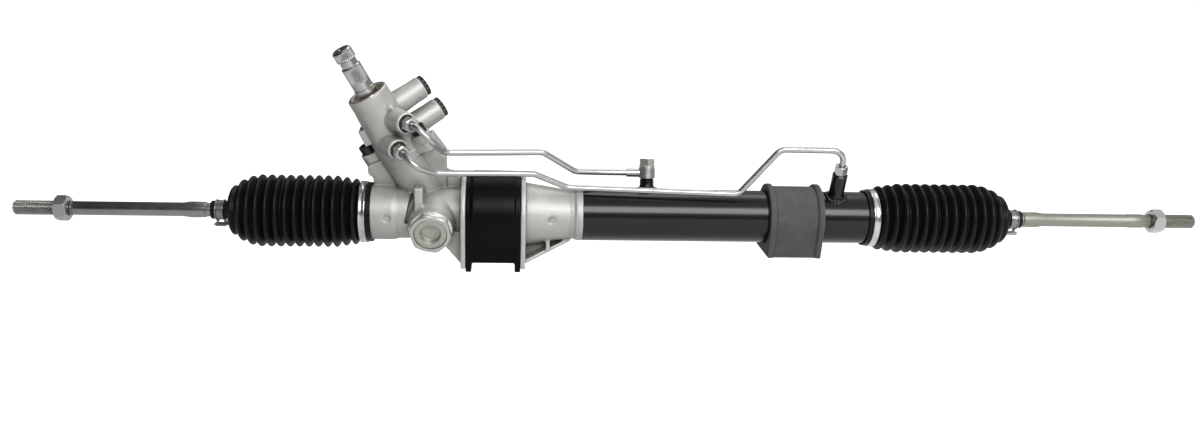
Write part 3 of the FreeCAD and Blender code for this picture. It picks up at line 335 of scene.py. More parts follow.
# Cast aluminium has painted shade in its pockets and creases, and lighter edge wear on ridges.
CAST = finish_material(
    "cast aluminium", (0.43, 0.425, 0.405), 0.49, metallic=0.4, grain=1.1, mottle_size=14,
    mottle=0.42, spread=0.25, bump=0.5, depth=0.3, crease_shade=0.7, ridge=0.4, pocket_shade=0.5)
MACHINED = finish_material(
    "machined aluminium", (0.80, 0.80, 0.79), 0.24, metallic=0.9, grain=0.5, mottle_size=6,
    mottle=0.15, bump=0.08)
ZINC = finish_material(
    "zinc plated steel", (0.43, 0.43, 0.425), 0.30, metallic=0.95, grain=0.6, mottle_size=9,
    spread=0.2, bump=0.06)
ROD_ZINC = finish_material(
    "dull zinc plate", (0.31, 0.305, 0.295), 0.30, metallic=1.0, grain=0.6, mottle_size=10,
    mottle=0.35, spread=0.2, bump=0.07)
OLIVE_ZINC = finish_material(
    "olive zinc plate", (0.26, 0.27, 0.235), 0.5, metallic=0.9, grain=0.7, mottle_size=12,
    mottle=0.3, spread=0.2, bump=0.08)
# The locknut plate has painted shade in its creases and lighter edge wear on ridges.
NUT_ZINC = finish_material(
    "locknut plate", (0.47, 0.47, 0.45), 0.38, metallic=0.85, grain=0.7, mottle_size=6,
    mottle=0.4, spread=0.2, crease_shade=0.4, ridge=0.2)
PASSIVATED = finish_material(
    "passivated steel plug", (0.38, 0.395, 0.345), 0.40, metallic=0.7, grain=0.8, mottle_size=3,
    mottle=0.9, bump=0.14, depth=0.12)
STAINLESS = finish_material(
    "stainless band", (0.55, 0.52, 0.51), 0.24, metallic=1.0, grain=0.5, mottle_size=7,
    mottle=0.5, spread=0.25, depth=0.08)
STEEL = finish_material(
    "machined steel", (0.42, 0.42, 0.42), 0.28, metallic=1.0, grain=0.4, mottle_size=3,
    mottle=0.3, bump=0.06, depth=0.05)
CLIP_STEEL = finish_material(
    "spring steel clip", (0.24, 0.235, 0.23), 0.34, metallic=1.0, grain=0.5, mottle_size=5,
    mottle=0.4, spread=0.2, bump=0.08, depth=0.06)
TUBE_PAINT = finish_material(
    "satin black paint", (0.004, 0.004, 0.005), 0.20, grain=1.4, mottle_size=30, mottle=0.3,
    spread=0.08, bump=0.05, depth=0.08, specular=0.36)
BOOT_RUBBER = finish_material(
    "boot rubber", (0.003, 0.003, 0.0035), 0.42, grain=0.9, mottle_size=12, mottle=0.5,
    spread=0.25, bump=0.15, depth=0.12, specular=0.17)
BUSH_RUBBER = finish_material(
    "bush rubber", (0.002, 0.002, 0.0024), 0.36, mottle_size=18, mottle=0.5, spread=0.2,
    depth=0.12, specular=0.08)
# The grey rubber has painted shade in its creases and lighter edge wear on ridges.
GREY_RUBBER = finish_material(
    "grey rubber", (0.072, 0.071, 0.073), 0.72, grain=0.7, mottle_size=11, mottle=0.85,
    spread=0.12, bump=0.45, depth=0.25, specular=0.25, crease_shade=0.5, ridge=0.5)
SEAL_RUBBER = finish_material(
    "seal rubber", (0.27, 0.15, 0.045), 0.4, grain=0.6, mottle_size=5, mottle=0.6)
CAP_PLASTIC = finish_material(
    "cap plastic", (0.014, 0.012, 0.016), 0.35, grain=0.5, mottle_size=8, mottle=0.2, bump=0.08,
    depth=0.08)
BLACK_OXIDE = finish_material(
    "black oxide steel", (0.02, 0.02, 0.021), 0.36, metallic=0.5, grain=0.5, mottle_size=5,
    mottle=0.3, depth=0.08)
COPPER = finish_material(
    "copper washer", (0.46, 0.36, 0.30), 0.40, metallic=1.0, grain=0.5, mottle_size=5,
    mottle=0.2, bump=0.05, depth=0.05)
NYLON = finish_material(
    "bearing plastic", (0.75, 0.72, 0.62), 0.45, grain=0.6, mottle_size=8, mottle=0.1,
    bump=0.05, depth=0.05)


# Mesh helpers

def linked(name, data):
    """New object of the scene with its data."""
    made = bpy.data.objects.new(name, data)
    bpy.context.scene.collection.objects.link(made)
    return made


def covered(piece, material):
    """Gives the piece one material alone."""
    piece.data.materials.clear()
    piece.data.materials.append(material)
    return piece


def mesh_of(bm, name):
    """Ends a bmesh and keeps it as a mesh."""
    mesh = bpy.data.meshes.new(name)
    bm.to_mesh(mesh)
    bm.free()
    return mesh


def built(bm, name, material):
    """Ends a bmesh and keeps it as a piece with its faces turned outwards."""
    bmesh.ops.recalc_face_normals(bm, faces=bm.faces)
    return covered(linked(name, mesh_of(bm, name)), material)


def modify(piece, kind, **settings):
    """Adds a modifier with its settings."""
    with_settings(piece.modifiers.new(kind.lower(), kind), settings)


def evaluated(piece):
    """Turns the piece's modifiers into its mesh."""
    bpy.context.view_layer.update()
    graph = bpy.context.evaluated_depsgraph_get()
    mesh = bpy.data.meshes.new_from_object(piece.evaluated_get(graph))
    old = piece.data
    piece.modifiers.clear()
    piece.data = mesh
    if old.users == 0:
        bpy.data.meshes.remove(old)
    return piece


def smooth(piece, angle=35.0):
    """Smooth shading with sharp edges past an angle."""
    piece.data.shade_smooth()
    piece.data.set_sharp_from_angle(angle=math.radians(angle))
    return piece


def close_up(piece):
    """Merges doubles, closes open ends and turns the faces outwards."""
    bm = bmesh.new()
    bm.from_mesh(piece.data)
    bmesh.ops.remove_doubles(bm, verts=bm.verts, dist=0.00001)
    bmesh.ops.holes_fill(bm, edges=[e for e in bm.edges if e.is_boundary], sides=0)
    bmesh.ops.recalc_face_normals(bm, faces=bm.faces)
    bm.to_mesh(piece.data)
    bm.free()
    return piece


def skin(bm, rings):
    """Faces between neighbouring rings; a ring that repeats one vertex is a pole."""
    for low, high in zip(rings, rings[1:]):
        for i in range(len(low)):
            j = (i + 1) % len(low)
            corners = []
            for vertex in (low[i], low[j], high[j], high[i]):
                if vertex not in corners:
                    corners.append(vertex)
            if len(corners) > 2:
                bm.faces.new(corners)


def square_to(direction, first, spare):
    """Two unit vectors square to a direction; spare serves where first lies along it."""
    side = direction.cross(first)
    side = (side if side.length > 0.1 else spare).normalized()
    return side, direction.cross(side)


def lathe(name, outline, start, direction, material, steps=96):
    """Turned solid from (along, radius) in millimetres, from axis to axis or closed on itself."""
    side, other = square_to(direction, UP, direction.cross(RIGHT))
    bm = bmesh.new()
    rings = []
    for along, radius in outline:
        middle = start + direction * (along * MM)
        if radius < 1e-6:
            rings.append([bm.verts.new(middle)] * steps)
            continue
        ring = []
        for i in range(steps):
            a = TAU * i / steps
            turned = side * math.cos(a) + other * math.sin(a)
            ring.append(bm.verts.new(middle + turned * (radius * MM)))
        rings.append(ring)
    if outline[0][1] > 1e-6:
        rings.append(rings[0])
    skin(bm, rings)
    return smooth(built(bm, name, material))


def aim_along(piece, start, direction):
    """Turns a piece built along +X so that it starts at start and points along direction."""
    turn = direction.to_track_quat("X", "Z").to_matrix().to_4x4()
    piece.data.transform(Matrix.Translation(start) @ turn)
    return piece


def join(name, pieces):
    """One mesh from several pieces; their materials stay."""
    materials = []
    bm = bmesh.new()
    for piece in pieces:
        shift = []
        for material in piece.data.materials:
            if material not in materials:
                materials.append(material)
            shift.append(materials.index(material))
        first = len(bm.faces)
        bm.from_mesh(piece.data)
        bm.faces.ensure_lookup_table()
        for face in bm.faces[first:]:
            face.material_index = shift[face.material_index]
    mesh = mesh_of(bm, name)
    for piece in pieces:
        bpy.data.objects.remove(piece)
    for material in materials:
        mesh.materials.append(material)
    return linked(name, mesh)


# Geometry Nodes: grids wrapped round the rack axis by a rule, and pipes

GEOMETRY = [("Geometry", "Geometry", None)]
GRID_INPUTS = [("Material", "Material", None), ("Around", "Int", 96), ("Along", "Int", 100),
               ("From", "Float", 0.0), ("To", "Float", 0.1)]


def end_rule(rule, geometry):
    """Every tree ends by realizing instances and setting its material."""
    real = rule.node("GeometryNodeRealizeInstances", {0: geometry})
    paint = rule.node("GeometryNodeSetMaterial", {
        "Geometry": real.outputs[0], "Material": rule["Material"]})
    rule.fill(rule.output, {0: paint.outputs[0]})
    return rule


def wrapped_grid(name, radius_rule, inputs):
    """Grid of Around by Along points from From to To, wrapped round +X with the rule's radius."""
    rule = node_group(name, "GeometryNodeTree", GEOMETRY + GRID_INPUTS + inputs, GEOMETRY)
    grid = rule.node("GeometryNodeMeshGrid", {
        "Size X": 1.0, "Size Y": 1.0, "Vertices X": rule["Around"], "Vertices Y": rule["Along"]})
    place = rule.split(rule.node("GeometryNodeInputPosition").outputs[0])
    u = rule.math("ADD", place["X"], 0.5)
    v = rule.math("ADD", place["Y"], 0.5)
    span = rule.math("SUBTRACT", rule["To"], rule["From"])
    s = rule.math("MULTIPLY_ADD", v, span, rule["From"])
    radius = radius_rule(rule, rule.math, s, u)
    angle = rule.math("MULTIPLY", u, TAU)
    where = rule.node("ShaderNodeCombineXYZ", {
        "X": s, "Y": rule.math("MULTIPLY", radius, rule.math("COSINE", angle)),
        "Z": rule.math("MULTIPLY", radius, rule.math("SINE", angle))})
    wrapped = rule.node("GeometryNodeSetPosition", {
        "Geometry": grid.outputs["Mesh"], "Position": where.outputs[0]})
    merged = rule.node("GeometryNodeMergeByDistance", {
        "Geometry": wrapped.outputs[0], "Distance": 0.000002})
    return end_rule(rule, merged.outputs[0])


def boot_radius(rule, calc, s, u):
    """Cuff, evenly spaced crests that shrink towards the neck, and the neck."""
    phase = calc("MULTIPLY", calc("DIVIDE", s, rule["Length"]), rule["Crests"])
    wave = calc("COSINE", calc("MULTIPLY", phase, TAU))
    ridge = calc("POWER", calc("MULTIPLY_ADD", wave, -0.5, 0.5), 0.62)
    left_over = calc("SUBTRACT", rule["Crests"], phase)
    dome = calc("DIVIDE", calc("MAXIMUM", left_over, 0.0), rule["Dome Crests"])
    rise = calc("POWER", calc("MINIMUM", dome, 1.0), 0.33)
    first = calc("MINIMUM", calc("MULTIPLY_ADD", phase, 0.05, 0.87), 1.0)
    swell = calc("MULTIPLY", rise, first)
    crest_gap = calc("SUBTRACT", rule["Crest Radius"], rule["Neck Radius"])
    crest = calc("MULTIPLY_ADD", crest_gap, swell, rule["Neck Radius"])
    depth = calc("MULTIPLY", rule["Depth"], calc("MULTIPLY_ADD", rise, 0.75, 0.25))
    valley = calc("SUBTRACT", crest, depth)
    body = calc("MULTIPLY_ADD", depth, ridge, valley)
    in_neck = calc("GREATER_THAN", s, rule["Length"])
    in_cuff = calc("LESS_THAN", s, 0.0)
    return rule.pick(in_cuff, rule["Cuff Radius"], rule.pick(in_neck, rule["Neck Radius"], body))


def run_out(rule, calc, s, groove, length):
    """Radius less a groove that runs out at both ends."""
    ends = calc("MINIMUM", calc("SUBTRACT", s, rule["From"]), calc("SUBTRACT", rule["To"], s))
    fade = calc("MINIMUM", calc("DIVIDE", ends, length), 1.0)
    cut = calc("MULTIPLY", calc("MULTIPLY", groove, fade), rule["Depth"])
    return calc("SUBTRACT", rule["Radius"], cut)


def thread_radius(rule, calc, s, u):
    """Screw thread with rounded crests."""
    turns = calc("FRACT", calc("SUBTRACT", calc("DIVIDE", s, rule["Pitch"]), u))
    saw = calc("ABSOLUTE", calc("SUBTRACT", turns, 0.5))
    groove = calc("SUBTRACT", 1.0, calc("MULTIPLY", saw, 2.0))
    groove = calc("MAXIMUM", calc("MULTIPLY_ADD", groove, 1.25, -0.12), 0.0)
    return run_out(rule, calc, s, calc("MINIMUM", groove, 1.0), rule["Pitch"])


def serrated_radius(rule, calc, s, u):
    """Straight serrations round a shaft."""
    phase = calc("MULTIPLY", calc("MULTIPLY", u, rule["Teeth"]), TAU)
    wave = calc("MULTIPLY_ADD", calc("COSINE", phase), 0.5, 0.5)
    return run_out(rule, calc, s, wave, 0.0015)


def pipe_rule():
    """Round pipe swept along the base mesh's edges, with filleted corners."""
    rule = node_group("bent pipe", "GeometryNodeTree", GEOMETRY + [
        ("Material", "Material", None), ("Radius", "Float", 0.003),
        ("Bend Radius", "Float", 0.012), ("Around", "Int", 24)], GEOMETRY)
    path = rule.node("GeometryNodeMeshToCurve", {0: rule["Geometry"]})
    fillet = rule.node("GeometryNodeFilletCurve")
    if hasattr(fillet, "mode"):
        fillet.mode = "POLY"
    rule.fill(fillet, {"Curve": path.outputs[0], "Radius": rule["Bend Radius"], "Count": 10,
                       "Limit Radius": True})
    ring = rule.node("GeometryNodeCurvePrimitiveCircle", {
        "Resolution": rule["Around"], "Radius": rule["Radius"]})
    sweep = rule.node("GeometryNodeCurveToMesh", {
        "Curve": fillet.outputs[0], "Profile Curve": ring.outputs[0], "Fill Caps": True})
    return end_rule(rule, sweep.outputs[0])


BOOT = wrapped_grid("corrugated boot", boot_radius, [
    ("Length", "Float", 0.14), ("Crests", "Float", 14.0), ("Crest Radius", "Float", 0.0352),
    ("Depth", "Float", 0.0058), ("Dome Crests", "Float", 3.0), ("Cuff Radius", "Float", 0.0292),
    ("Neck Radius", "Float", 0.0089)])
THREAD = wrapped_grid("screw thread", thread_radius, [
    ("Radius", "Float", 0.007), ("Depth", "Float", 0.0009), ("Pitch", "Float", 0.0015)])
SERRATIONS = wrapped_grid("shaft serrations", serrated_radius, [
    ("Radius", "Float", 0.0095), ("Depth", "Float", 0.0008), ("Teeth", "Float", 36.0)])
PIPE = pipe_rule()


def ruled_piece(name, rule, material, values, mesh=None):
    """Runs one Geometry Nodes tree on a mesh and keeps the result as a plain mesh."""
    piece = covered(linked(name, mesh or bpy.data.meshes.new(name)), material)
    modifier = piece.modifiers.new("rule", "NODES")
    modifier.node_group = rule.tree
    modifier[rule.sockets["Material"]] = material
    for label, value in values.items():
        modifier[rule.sockets[label]] = value
    return evaluated(piece)


def grooved(name, rule, start, direction, length, material, angle, **values):
    """Stretch of a grooved shaft along a direction, closed at both ends."""
    values.update({"From": 0.0, "To": length * MM})
    piece = close_up(ruled_piece(name, rule, material, values))
    return smooth(aim_along(piece, start, direction), angle)


def swept(name, points, radius, bend, around, material):
    """Pipe or wire through points, closed at both ends; radius and bend are in millimetres."""
    mesh = bpy.data.meshes.new(name)
    mesh.from_pydata([tuple(p) for p in points], [(i, i + 1) for i in range(len(points) - 1)], [])
    values = {"Radius": radius * MM, "Bend Radius": bend * MM, "Around": around}
    return smooth(close_up(ruled_piece(name, PIPE, material, values, mesh)), 40)


# Castings and rubber: the CAD shape with soft moulded edges

def cad_copy(name, node, material, merge_angle=None):
    """Copy of a CAD node without doubles, its facets merged below an angle in degrees."""
    bm = bmesh.new()
    bm.from_mesh(NODES[node].data)
    bmesh.ops.remove_doubles(bm, verts=bm.verts, dist=0.000001)
    if merge_angle:
        bmesh.ops.dissolve_limit(bm, angle_limit=math.radians(merge_angle), verts=bm.verts,
                                 edges=bm.edges)
    return covered(linked(name, mesh_of(bm, name)), material)


def soft_copy(name, node, material, voxel, passes):
    """Remeshed and relaxed copy of a CAD node, so that its edges are rounded as if moulded."""
    piece = cad_copy(name, node, material)
    modify(piece, "REMESH", mode="VOXEL", voxel_size=voxel * MM)
    modify(piece, "SMOOTH", factor=0.5, iterations=passes)
    modify(piece, "DECIMATE", ratio=0.6)
    covered(evaluated(piece), material).data.shade_smooth()
    return piece


def eased_copy(name, node, material, width):
    """Copy of a machined CAD node with its facets merged and its sharp edges broken."""
    piece = cad_copy(name, node, material, 0.5)
    modify(piece, "BEVEL", width=width * MM, segments=2, limit_method="ANGLE",
           angle_limit=math.radians(32))
    smooth(evaluated(piece), 38)
    modify(piece, "WEIGHTED_NORMAL", keep_sharp=True)
    return covered(evaluated(piece), material)


def stand_in_for(piece, node):
    """The piece takes the place and body of a CAD node, which it hides."""
    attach(piece, BODY_OF[node])
    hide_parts(node)


def machine_face(piece, start, direction, radius):
    """Gives a flat machined face of a casting its own material."""
    index = len(piece.data.materials)
    piece.data.materials.append(MACHINED)
    for face in piece.data.polygons:
        offset = face.center - start
        height = offset.dot(direction)
        if abs(height) < 0.9 * MM and (offset - direction * height).length < radius * MM:
            if face.normal.dot(direction) > 0.9:
                face.material_index = index


def castings():
    """Both castings, with the faces of guide boss, mouth and hose ports machined."""
    gear = soft_copy("gear_housing_casting", "gear_housing", CAST, voxel=1.0, passes=3)
    machine_face(gear, at(PINION_X) + GUIDE_DIR * (GUIDE_FACE * MM), GUIDE_DIR, radius=22)
    stand_in_for(gear, "gear_housing")
    valve = soft_copy("valve_housing_casting", "valve_housing", CAST, voxel=0.7, passes=3)
    machine_face(valve, on_pinion(RIM_T), PINION_DIR, radius=21)
    for start, length in (PRESSURE_PORT, RETURN_PORT):
        machine_face(valve, start + PORT_DIR * (length * MM), PORT_DIR, radius=12)
    stand_in_for(valve, "valve_housing")


def moulded_mark(surface, x, z, size):
    """Small raised triangle on the front of a moulded piece, standing on its surface."""
    tree = BVHTree.FromPolygons([v.co for v in surface.data.vertices],
                                [f.vertices for f in surface.data.polygons])
    hit, normal, _, _ = tree.ray_cast(at(x, -120, z), Vector((0, 1, 0)))
    up = (UP - normal * UP.dot(normal)).normalized()
    across = up.cross(normal)
    corners = [up * math.cos(a) + across * math.sin(a) for a in (0, TAU / 3, 2 * TAU / 3)]
    bm = bmesh.new()
    rings = [[bm.verts.new(hit + normal * (height * MM) + corner * (size * spread * MM))
              for corner in corners]
             for height, spread in ((-0.6, 1.0), (0.45, 1.0), (0.6, 0.8))]
    skin(bm, rings)
    bm.faces.new(rings[0])
    bm.faces.new(rings[-1])
    return built(bm, "mark", surface.data.materials[0])


def bushes():
    """Both rubber bushes, the black one with its moulded mark."""
    locating = soft_copy("locating_bush_rubber", "locating_bush", BUSH_RUBBER, voxel=1.0, passes=2)
    mark = moulded_mark(locating, x=6.5, z=-37.0, size=2.2)
    stand_in_for(join("locating_bush_rubber", [locating, mark]), "locating_bush")
    floating = soft_copy("floating_bush_rubber", "floating_bush", GREY_RUBBER, voxel=1.0, passes=3)
    stand_in_for(floating, "floating_bush")


# Bellows

def boot_part(name, side, start_x, length, cuff_r, low, high):
    """One stretch of a bellows from low to high along it, with its wall closed at both ends."""
    values = {"Around": 121, "Along": max(6, int((high - low) * 1.6)), "From": low * MM,
              "To": high * MM, "Length": length * MM, "Crests": float(CRESTS),
              "Cuff Radius": (cuff_r + SEAT_GAP + CUFF_WALL) * MM}
    piece = ruled_piece(name, BOOT, BOOT_RUBBER, values)
    bm = bmesh.new()
    bm.from_mesh(piece.data)
    bmesh.ops.recalc_face_normals(bm, faces=bm.faces)
    face = bm.faces[:][len(bm.faces) // 2]
    centre = face.calc_center_median()
    if face.normal.dot(Vector((0, centre.y, centre.z))) < 0:
        bmesh.ops.reverse_faces(bm, faces=bm.faces)
    bm.to_mesh(piece.data)
    bm.free()
    modify(piece, "SOLIDIFY", thickness=BELLOWS_WALL * MM, offset=-1.0)
    turn = Matrix.Rotation(0.0 if side > 0 else math.pi, 4, "Z")
    evaluated(piece).data.transform(Matrix.Translation(at(start_x)) @ turn)
    return smooth(piece, 50)


def bellows(label, side, cuff_start, cuff, seat_r, end_x, ball_x):
    """Bellows of one side, built in three stretches split at valleys near the ball joint."""
    start = cuff_start + side * cuff
    length = abs(end_x - start)
    pitch = length / CRESTS
    before_ball = 12.0
    first = round((abs(ball_x - start) - before_ball) / pitch) * pitch
    second = first + 2 * pitch
    seat, rod = label + "_ball_seat", label + "_tie_rod"
    for part, low, high, near, far, stop in (
            ("body", -cuff, first, "housing", "rack", first),
            ("shoulder", first, second, "rack", seat, second),
            ("neck", second, length + NECK_LENGTH, seat, rod, length)):
        piece = boot_part(f"{label}_bellows_{part}", side, start, length, seat_r, low, high)
        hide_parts(label + "_bellows")
        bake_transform(piece)


# Bands, rods, nuts and pipes

def band(label, x, seat_r):
    """Stainless band with rolled rims and its pinched ear."""
    r = seat_r + CUFF_WALL + 3 * SEAT_GAP
    rim = [(0, r), (0, r + 0.5), (0.3, r + 1.1), (0.9, r + 1.2), (1.5, r + 0.8)]
    hoop = lathe(label + "_band", rim + [(BAND_WIDTH - along, high) for along, high in rim[::-1]],
                 at(x), RIGHT, STAINLESS, 120)
    half_width, pinch, rise = 4.4, 0.35, 4.8
    ear_outline = []
    for i in range(25):
        a = math.pi * (i / 24)
        ear_outline.append((half_width * math.cos(a) * (1 - pinch * math.sin(a)),
                            r + 0.6 + rise * math.sin(a) ** 0.8))
    bm = bmesh.new()
    rings = []
    for along in (0.8, BAND_WIDTH - 0.8):
        outer, inner = ([bm.verts.new(at(x + along, y * narrow) - UP * ((z - inset) * MM))
                         for y, z in ear_outline] for narrow, inset in ((1.0, 0.0), (0.72, 0.9)))
        rings.append(outer + inner[::-1])
    skin(bm, rings)
    count = len(rings[0])
    for ring in rings:
        for i in range(count // 2 - 1):
            bm.faces.new((ring[i], ring[i + 1], ring[count - 2 - i], ring[count - 1 - i]))
    ear = smooth(built(bm, label + "_ear", STAINLESS))
    ear.data.transform(Matrix.Translation(at(x)) @ Matrix.Rotation(math.radians(38), 4, "X")
                       @ Matrix.Translation(-at(x)))
    piece = join(label + "_band", [hoop, ear])
    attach(piece, "housing")
    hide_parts(label)


def flatten(piece, middle, half_across, half_length):
    """Presses two wrench flats into a turned rod."""
    for vertex in piece.data.vertices:
        offset = vertex.co - middle
        if abs(offset.x) < half_length * MM:
            vertex.co.z = middle.z + max(-half_across * MM, min(half_across * MM, offset.z))


def tie_rod(label, side, ball_x, tip_x, thread, nut_x, material, flats):
    """Ball, neck and rod turned in one piece, with a thread on both sides of its jam nut."""
    direction = RIGHT if side > 0 else LEFT
    length = abs(tip_x - ball_x)
    nut_near, nut_far = sorted(abs(x - ball_x) for x in (nut_x, nut_x + NUT_THICK))
    neck = length - thread
    collar, flat_r = 46.0, 7.3
    ball = [math.radians(180 - i * 12.5) for i in range(13)]
    outline = [(BALL_R * math.cos(a), BALL_R * math.sin(a)) for a in ball]
    outline += [(14, BALL_NECK_R), (31, BALL_NECK_R), (35, ROD_R), (collar, ROD_R),
                (collar + 1, 7.6), (collar + 15, 7.9), (collar + 22, ROD_R)]
    if flats:
        outline += [(neck - 24, ROD_R), (neck - 23, flat_r), (neck - 7, flat_r),
                    (neck - 6, ROD_R)]
    outline += [(neck - 1, ROD_R), (neck, ROD_R - 0.5), (neck, 0)]
    pieces = [lathe(label + "_rod", outline, at(ball_x), direction, material, 64)]
    if flats:
        flatten(pieces[0], at(ball_x + side * (neck - 15)), half_across=6.4, half_length=9.0)
    in_nut = nut_far - nut_near + 1.6
    core = [(0, 0), (0, THREAD_CORE_R), (in_nut, THREAD_CORE_R), (in_nut, 0)]
    pieces.append(lathe(label + "_core", core, at(ball_x + side * (nut_near - 0.8)), direction,
                        material, 48))
    tip = 1.6
    for low, high in ((neck, nut_near - 0.3), (nut_far + 0.3, length - tip)):
        if high - low > 2 * THREAD_PITCH:
            pieces.append(grooved(
                label + "_thread", THREAD, at(ball_x + side * low), direction, high - low,
                material, 40, Around=65, Along=int((high - low) / THREAD_PITCH * 8),
                Radius=THREAD_R * MM, Depth=0.85 * MM, Pitch=THREAD_PITCH * MM))
    end = [(0, 0), (0, THREAD_R - 0.1), (tip * 0.9, THREAD_R - 1.3), (tip, 4.6), (tip, 0)]
    pieces.append(lathe(label + "_tip", end, at(tip_x - side * tip), direction, material, 48))
    stand_in_for(join(label + "_tie_rod_steel", pieces), label + "_tie_rod")


def hex_nut(label, kind, start, direction, across, thick, bore):
    """Hexagon nut with both ends turned to a chamfer, and a chamfered bore."""
    steps = 72
    side, other = square_to(direction, RIGHT, UP)
    corner = across / math.sqrt(3)
    turned = corner - across / 2 + 0.4
    drop = (corner - across / 2) * 0.95
    outline = [(thick, bore + 0.9), (thick - 0.9, bore), (0.9, bore), (0.0, bore + 0.9)]
    outline += [(drop * i / 8, across / 2 - 0.4 + turned * i / 8) for i in range(9)]
    outline += [(thick - drop + drop * i / 8, corner - turned * i / 8) for i in range(9)]
    bm = bmesh.new()
    rings = []
    for along, radius in outline:
        ring = []
        for i in range(steps):
            a = TAU * i / steps
            face = (math.degrees(a) + 30) % 60 - 30
            flat = across / 2 / math.cos(math.radians(30 - abs(face)))
            r = min(radius, flat) if radius > bore + 1 else radius
            ring.append(bm.verts.new(start + direction * (along * MM)
                                     + (side * math.cos(a) + other * math.sin(a)) * (r * MM)))
        rings.append(ring)
    skin(bm, rings + rings[:1])
    stand_in_for(smooth(built(bm, label + "_hex_nut", ZINC), 25), f"{label}_{kind}_nut")


def spring_clip(label, x):
    """Spring clip on the bellows neck: two wires side by side and the bar of its folded ears."""
    pieces = []
    r, inset = CLIP_R, 0.8
    for shift in (inset, CLIP_WIDTH - inset):
        wire = [(shift + WIRE_R * math.cos(a), r + WIRE_R * math.sin(a))
                for a in (TAU * i / 12 for i in range(12))]
        pieces.append(lathe(label + "_wire", wire, at(x), RIGHT, CLIP_STEEL, 64))
    pieces.append(lathe(label + "_band", [
        (0.6, r - 0.55), (0.6, r - 0.05), (CLIP_WIDTH - 0.6, r - 0.05),
        (CLIP_WIDTH - 0.6, r - 0.55)], at(x), RIGHT, CLIP_STEEL, 64))
    middle = x + CLIP_WIDTH / 2
    for side in (-1, 1):
        for shift in (inset - CLIP_WIDTH / 2, CLIP_WIDTH / 2 - inset):
            pieces.append(swept(label + "_tail", [
                at(middle + shift, side * 1.2, -r), at(middle + shift, side * 2.2, -r - 2.6),
                at(middle + shift * 1.9, side * 3.4, -r - 4.6)], WIRE_R, 2.0, 12, CLIP_STEEL))
        pieces.append(lathe(label + "_bar", [
            (0, 0), (0, 1.0), (0.3, 1.3), (9.7, 1.3), (10, 1.0), (10, 0)],
            at(middle - 5, side * 3.4, -r - 4.8), RIGHT, CLIP_STEEL, 24))
    stand_in_for(join(label + "_wire_clip", pieces), label)


def input_shaft():
    """Input shaft: plain in the valve, then a serrated stub with a groove for the clamp bolt."""
    high = RIM_T + INPUT_STUB
    serrated, groove, tip = RIM_T + STUB_PLAIN, high - CLAMP_GROOVE_TO_END, high - STUB_TIP
    shoulder = STUB_SHOULDER - INPUT_T

    def turned(name, outline, t):
        return lathe(name, outline, on_pinion(t), PINION_DIR, STEEL, 72)

    pieces = [turned("input_shaft_plain", [
        (0, 0), (0, INPUT_R), (shoulder - 0.5, INPUT_R), (shoulder, STUB_R),
        (serrated - INPUT_T, STUB_R), (serrated - INPUT_T, 0)], INPUT_T)]
    for i, (a, b) in enumerate(((serrated, groove), (groove + CLAMP_GROOVE, tip))):
        pieces.append(grooved(
            f"serrations_{i}", SERRATIONS, on_pinion(a), PINION_DIR, b - a, STEEL, 30,
            Around=STUB_TEETH * 8 + 1, Along=9, Radius=STUB_R * MM, Depth=0.7 * MM))
    pieces.append(turned("input_groove", [
        (0, 0), (0, STUB_R - 0.6), (1, STUB_R - 1.5), (CLAMP_GROOVE - 1, STUB_R - 1.5),
        (CLAMP_GROOVE, STUB_R - 0.6), (CLAMP_GROOVE, 0)], groove))
    pieces.append(turned("input_tip", [
        (0, 0), (0, STUB_R - 0.3), (STUB_TIP, STUB_R - 1.5), (STUB_TIP, 2.5), (0.4, 1.2),
        (0.4, 0)], tip))
    stand_in_for(join("input_shaft_steel", pieces), "input_shaft")


def port_cap(label, start, length):
    """Moulded plug with a notched grip rim, a shallow dish and its skirt in the bore."""
    face = start + PORT_DIR * ((length + SEAT_GAP) * MM)
    notches = 12
    rim = grooved(label + "_rim", SERRATIONS, face, PORT_DIR, 3.8, CAP_PLASTIC, 30,
                  Around=notches * 12 + 1, Along=9, Radius=10.2 * MM, Depth=1.3 * MM,
                  Teeth=float(notches))
    dish = lathe(label + "_dish", [
        (-12, 4.9), (-12, 6.4), (0, 6.4), (0.1, 8.4), (3.6, 8.4), (4.4, 7.6), (4.4, 5.6),
        (3.2, 4.8), (3.2, 0), (1, 0), (1, 4.9)], face, PORT_DIR, CAP_PLASTIC, 72)
    stand_in_for(join(label + "_moulding", [rim, dish]), label)


def weld_bead(name, port, radius):
    """Lumpy bead of weld round a port boss, where it meets the tube."""
    x, angle, _ = port
    axis = lean_dir(angle)
    sideways = axis.cross(RIGHT)
    steps, around = 144, 10
    bm = bmesh.new()
    rings = []
    for i in range(steps):
        a = TAU * i / steps
        u, v = radius * math.cos(a), radius * math.sin(a)
        height = math.sqrt(TUBE_R ** 2 - v ** 2)
        middle = at(x) + (RIGHT * u + sideways * v + axis * height) * MM
        out = (RIGHT * math.cos(a) + sideways * math.sin(a)).normalized()
        thick = 1.9 + 0.28 * math.sin(a * 22) + 0.15 * math.sin(a * 7 + 1)
        ring = []
        for k in range(around):
            b = TAU * k / around
            lump = out * math.cos(b) * 1.15 + axis * math.sin(b)
            ring.append(bm.verts.new(middle + lump * (thick * MM)))
        rings.append(ring)
    skin(bm, rings + rings[:1])
    piece = smooth(built(bm, name, TUBE_PAINT), 60)
    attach(piece, "housing")


# Pipe routes as the CAD has them, from in a nut of the valve housing to a port on the tube
SHORT_ROUTE = [at(-57.0, -58.0, 82.0), at(-46.0, -36.0, 67.0), at(47.0, -15.0, 65.0),
               at(79.3, 0.0, 43.4)]
LONG_ROUTE = [at(-71.0, -58.0, 57.0), at(-54.4, -42.0, 48.4), at(38.5, -22.0, 44.9),
              at(72.3, -12.0, 29.6), at(239.4, -20.5, 27.2), at(279.0, -20.0, 72.5)]


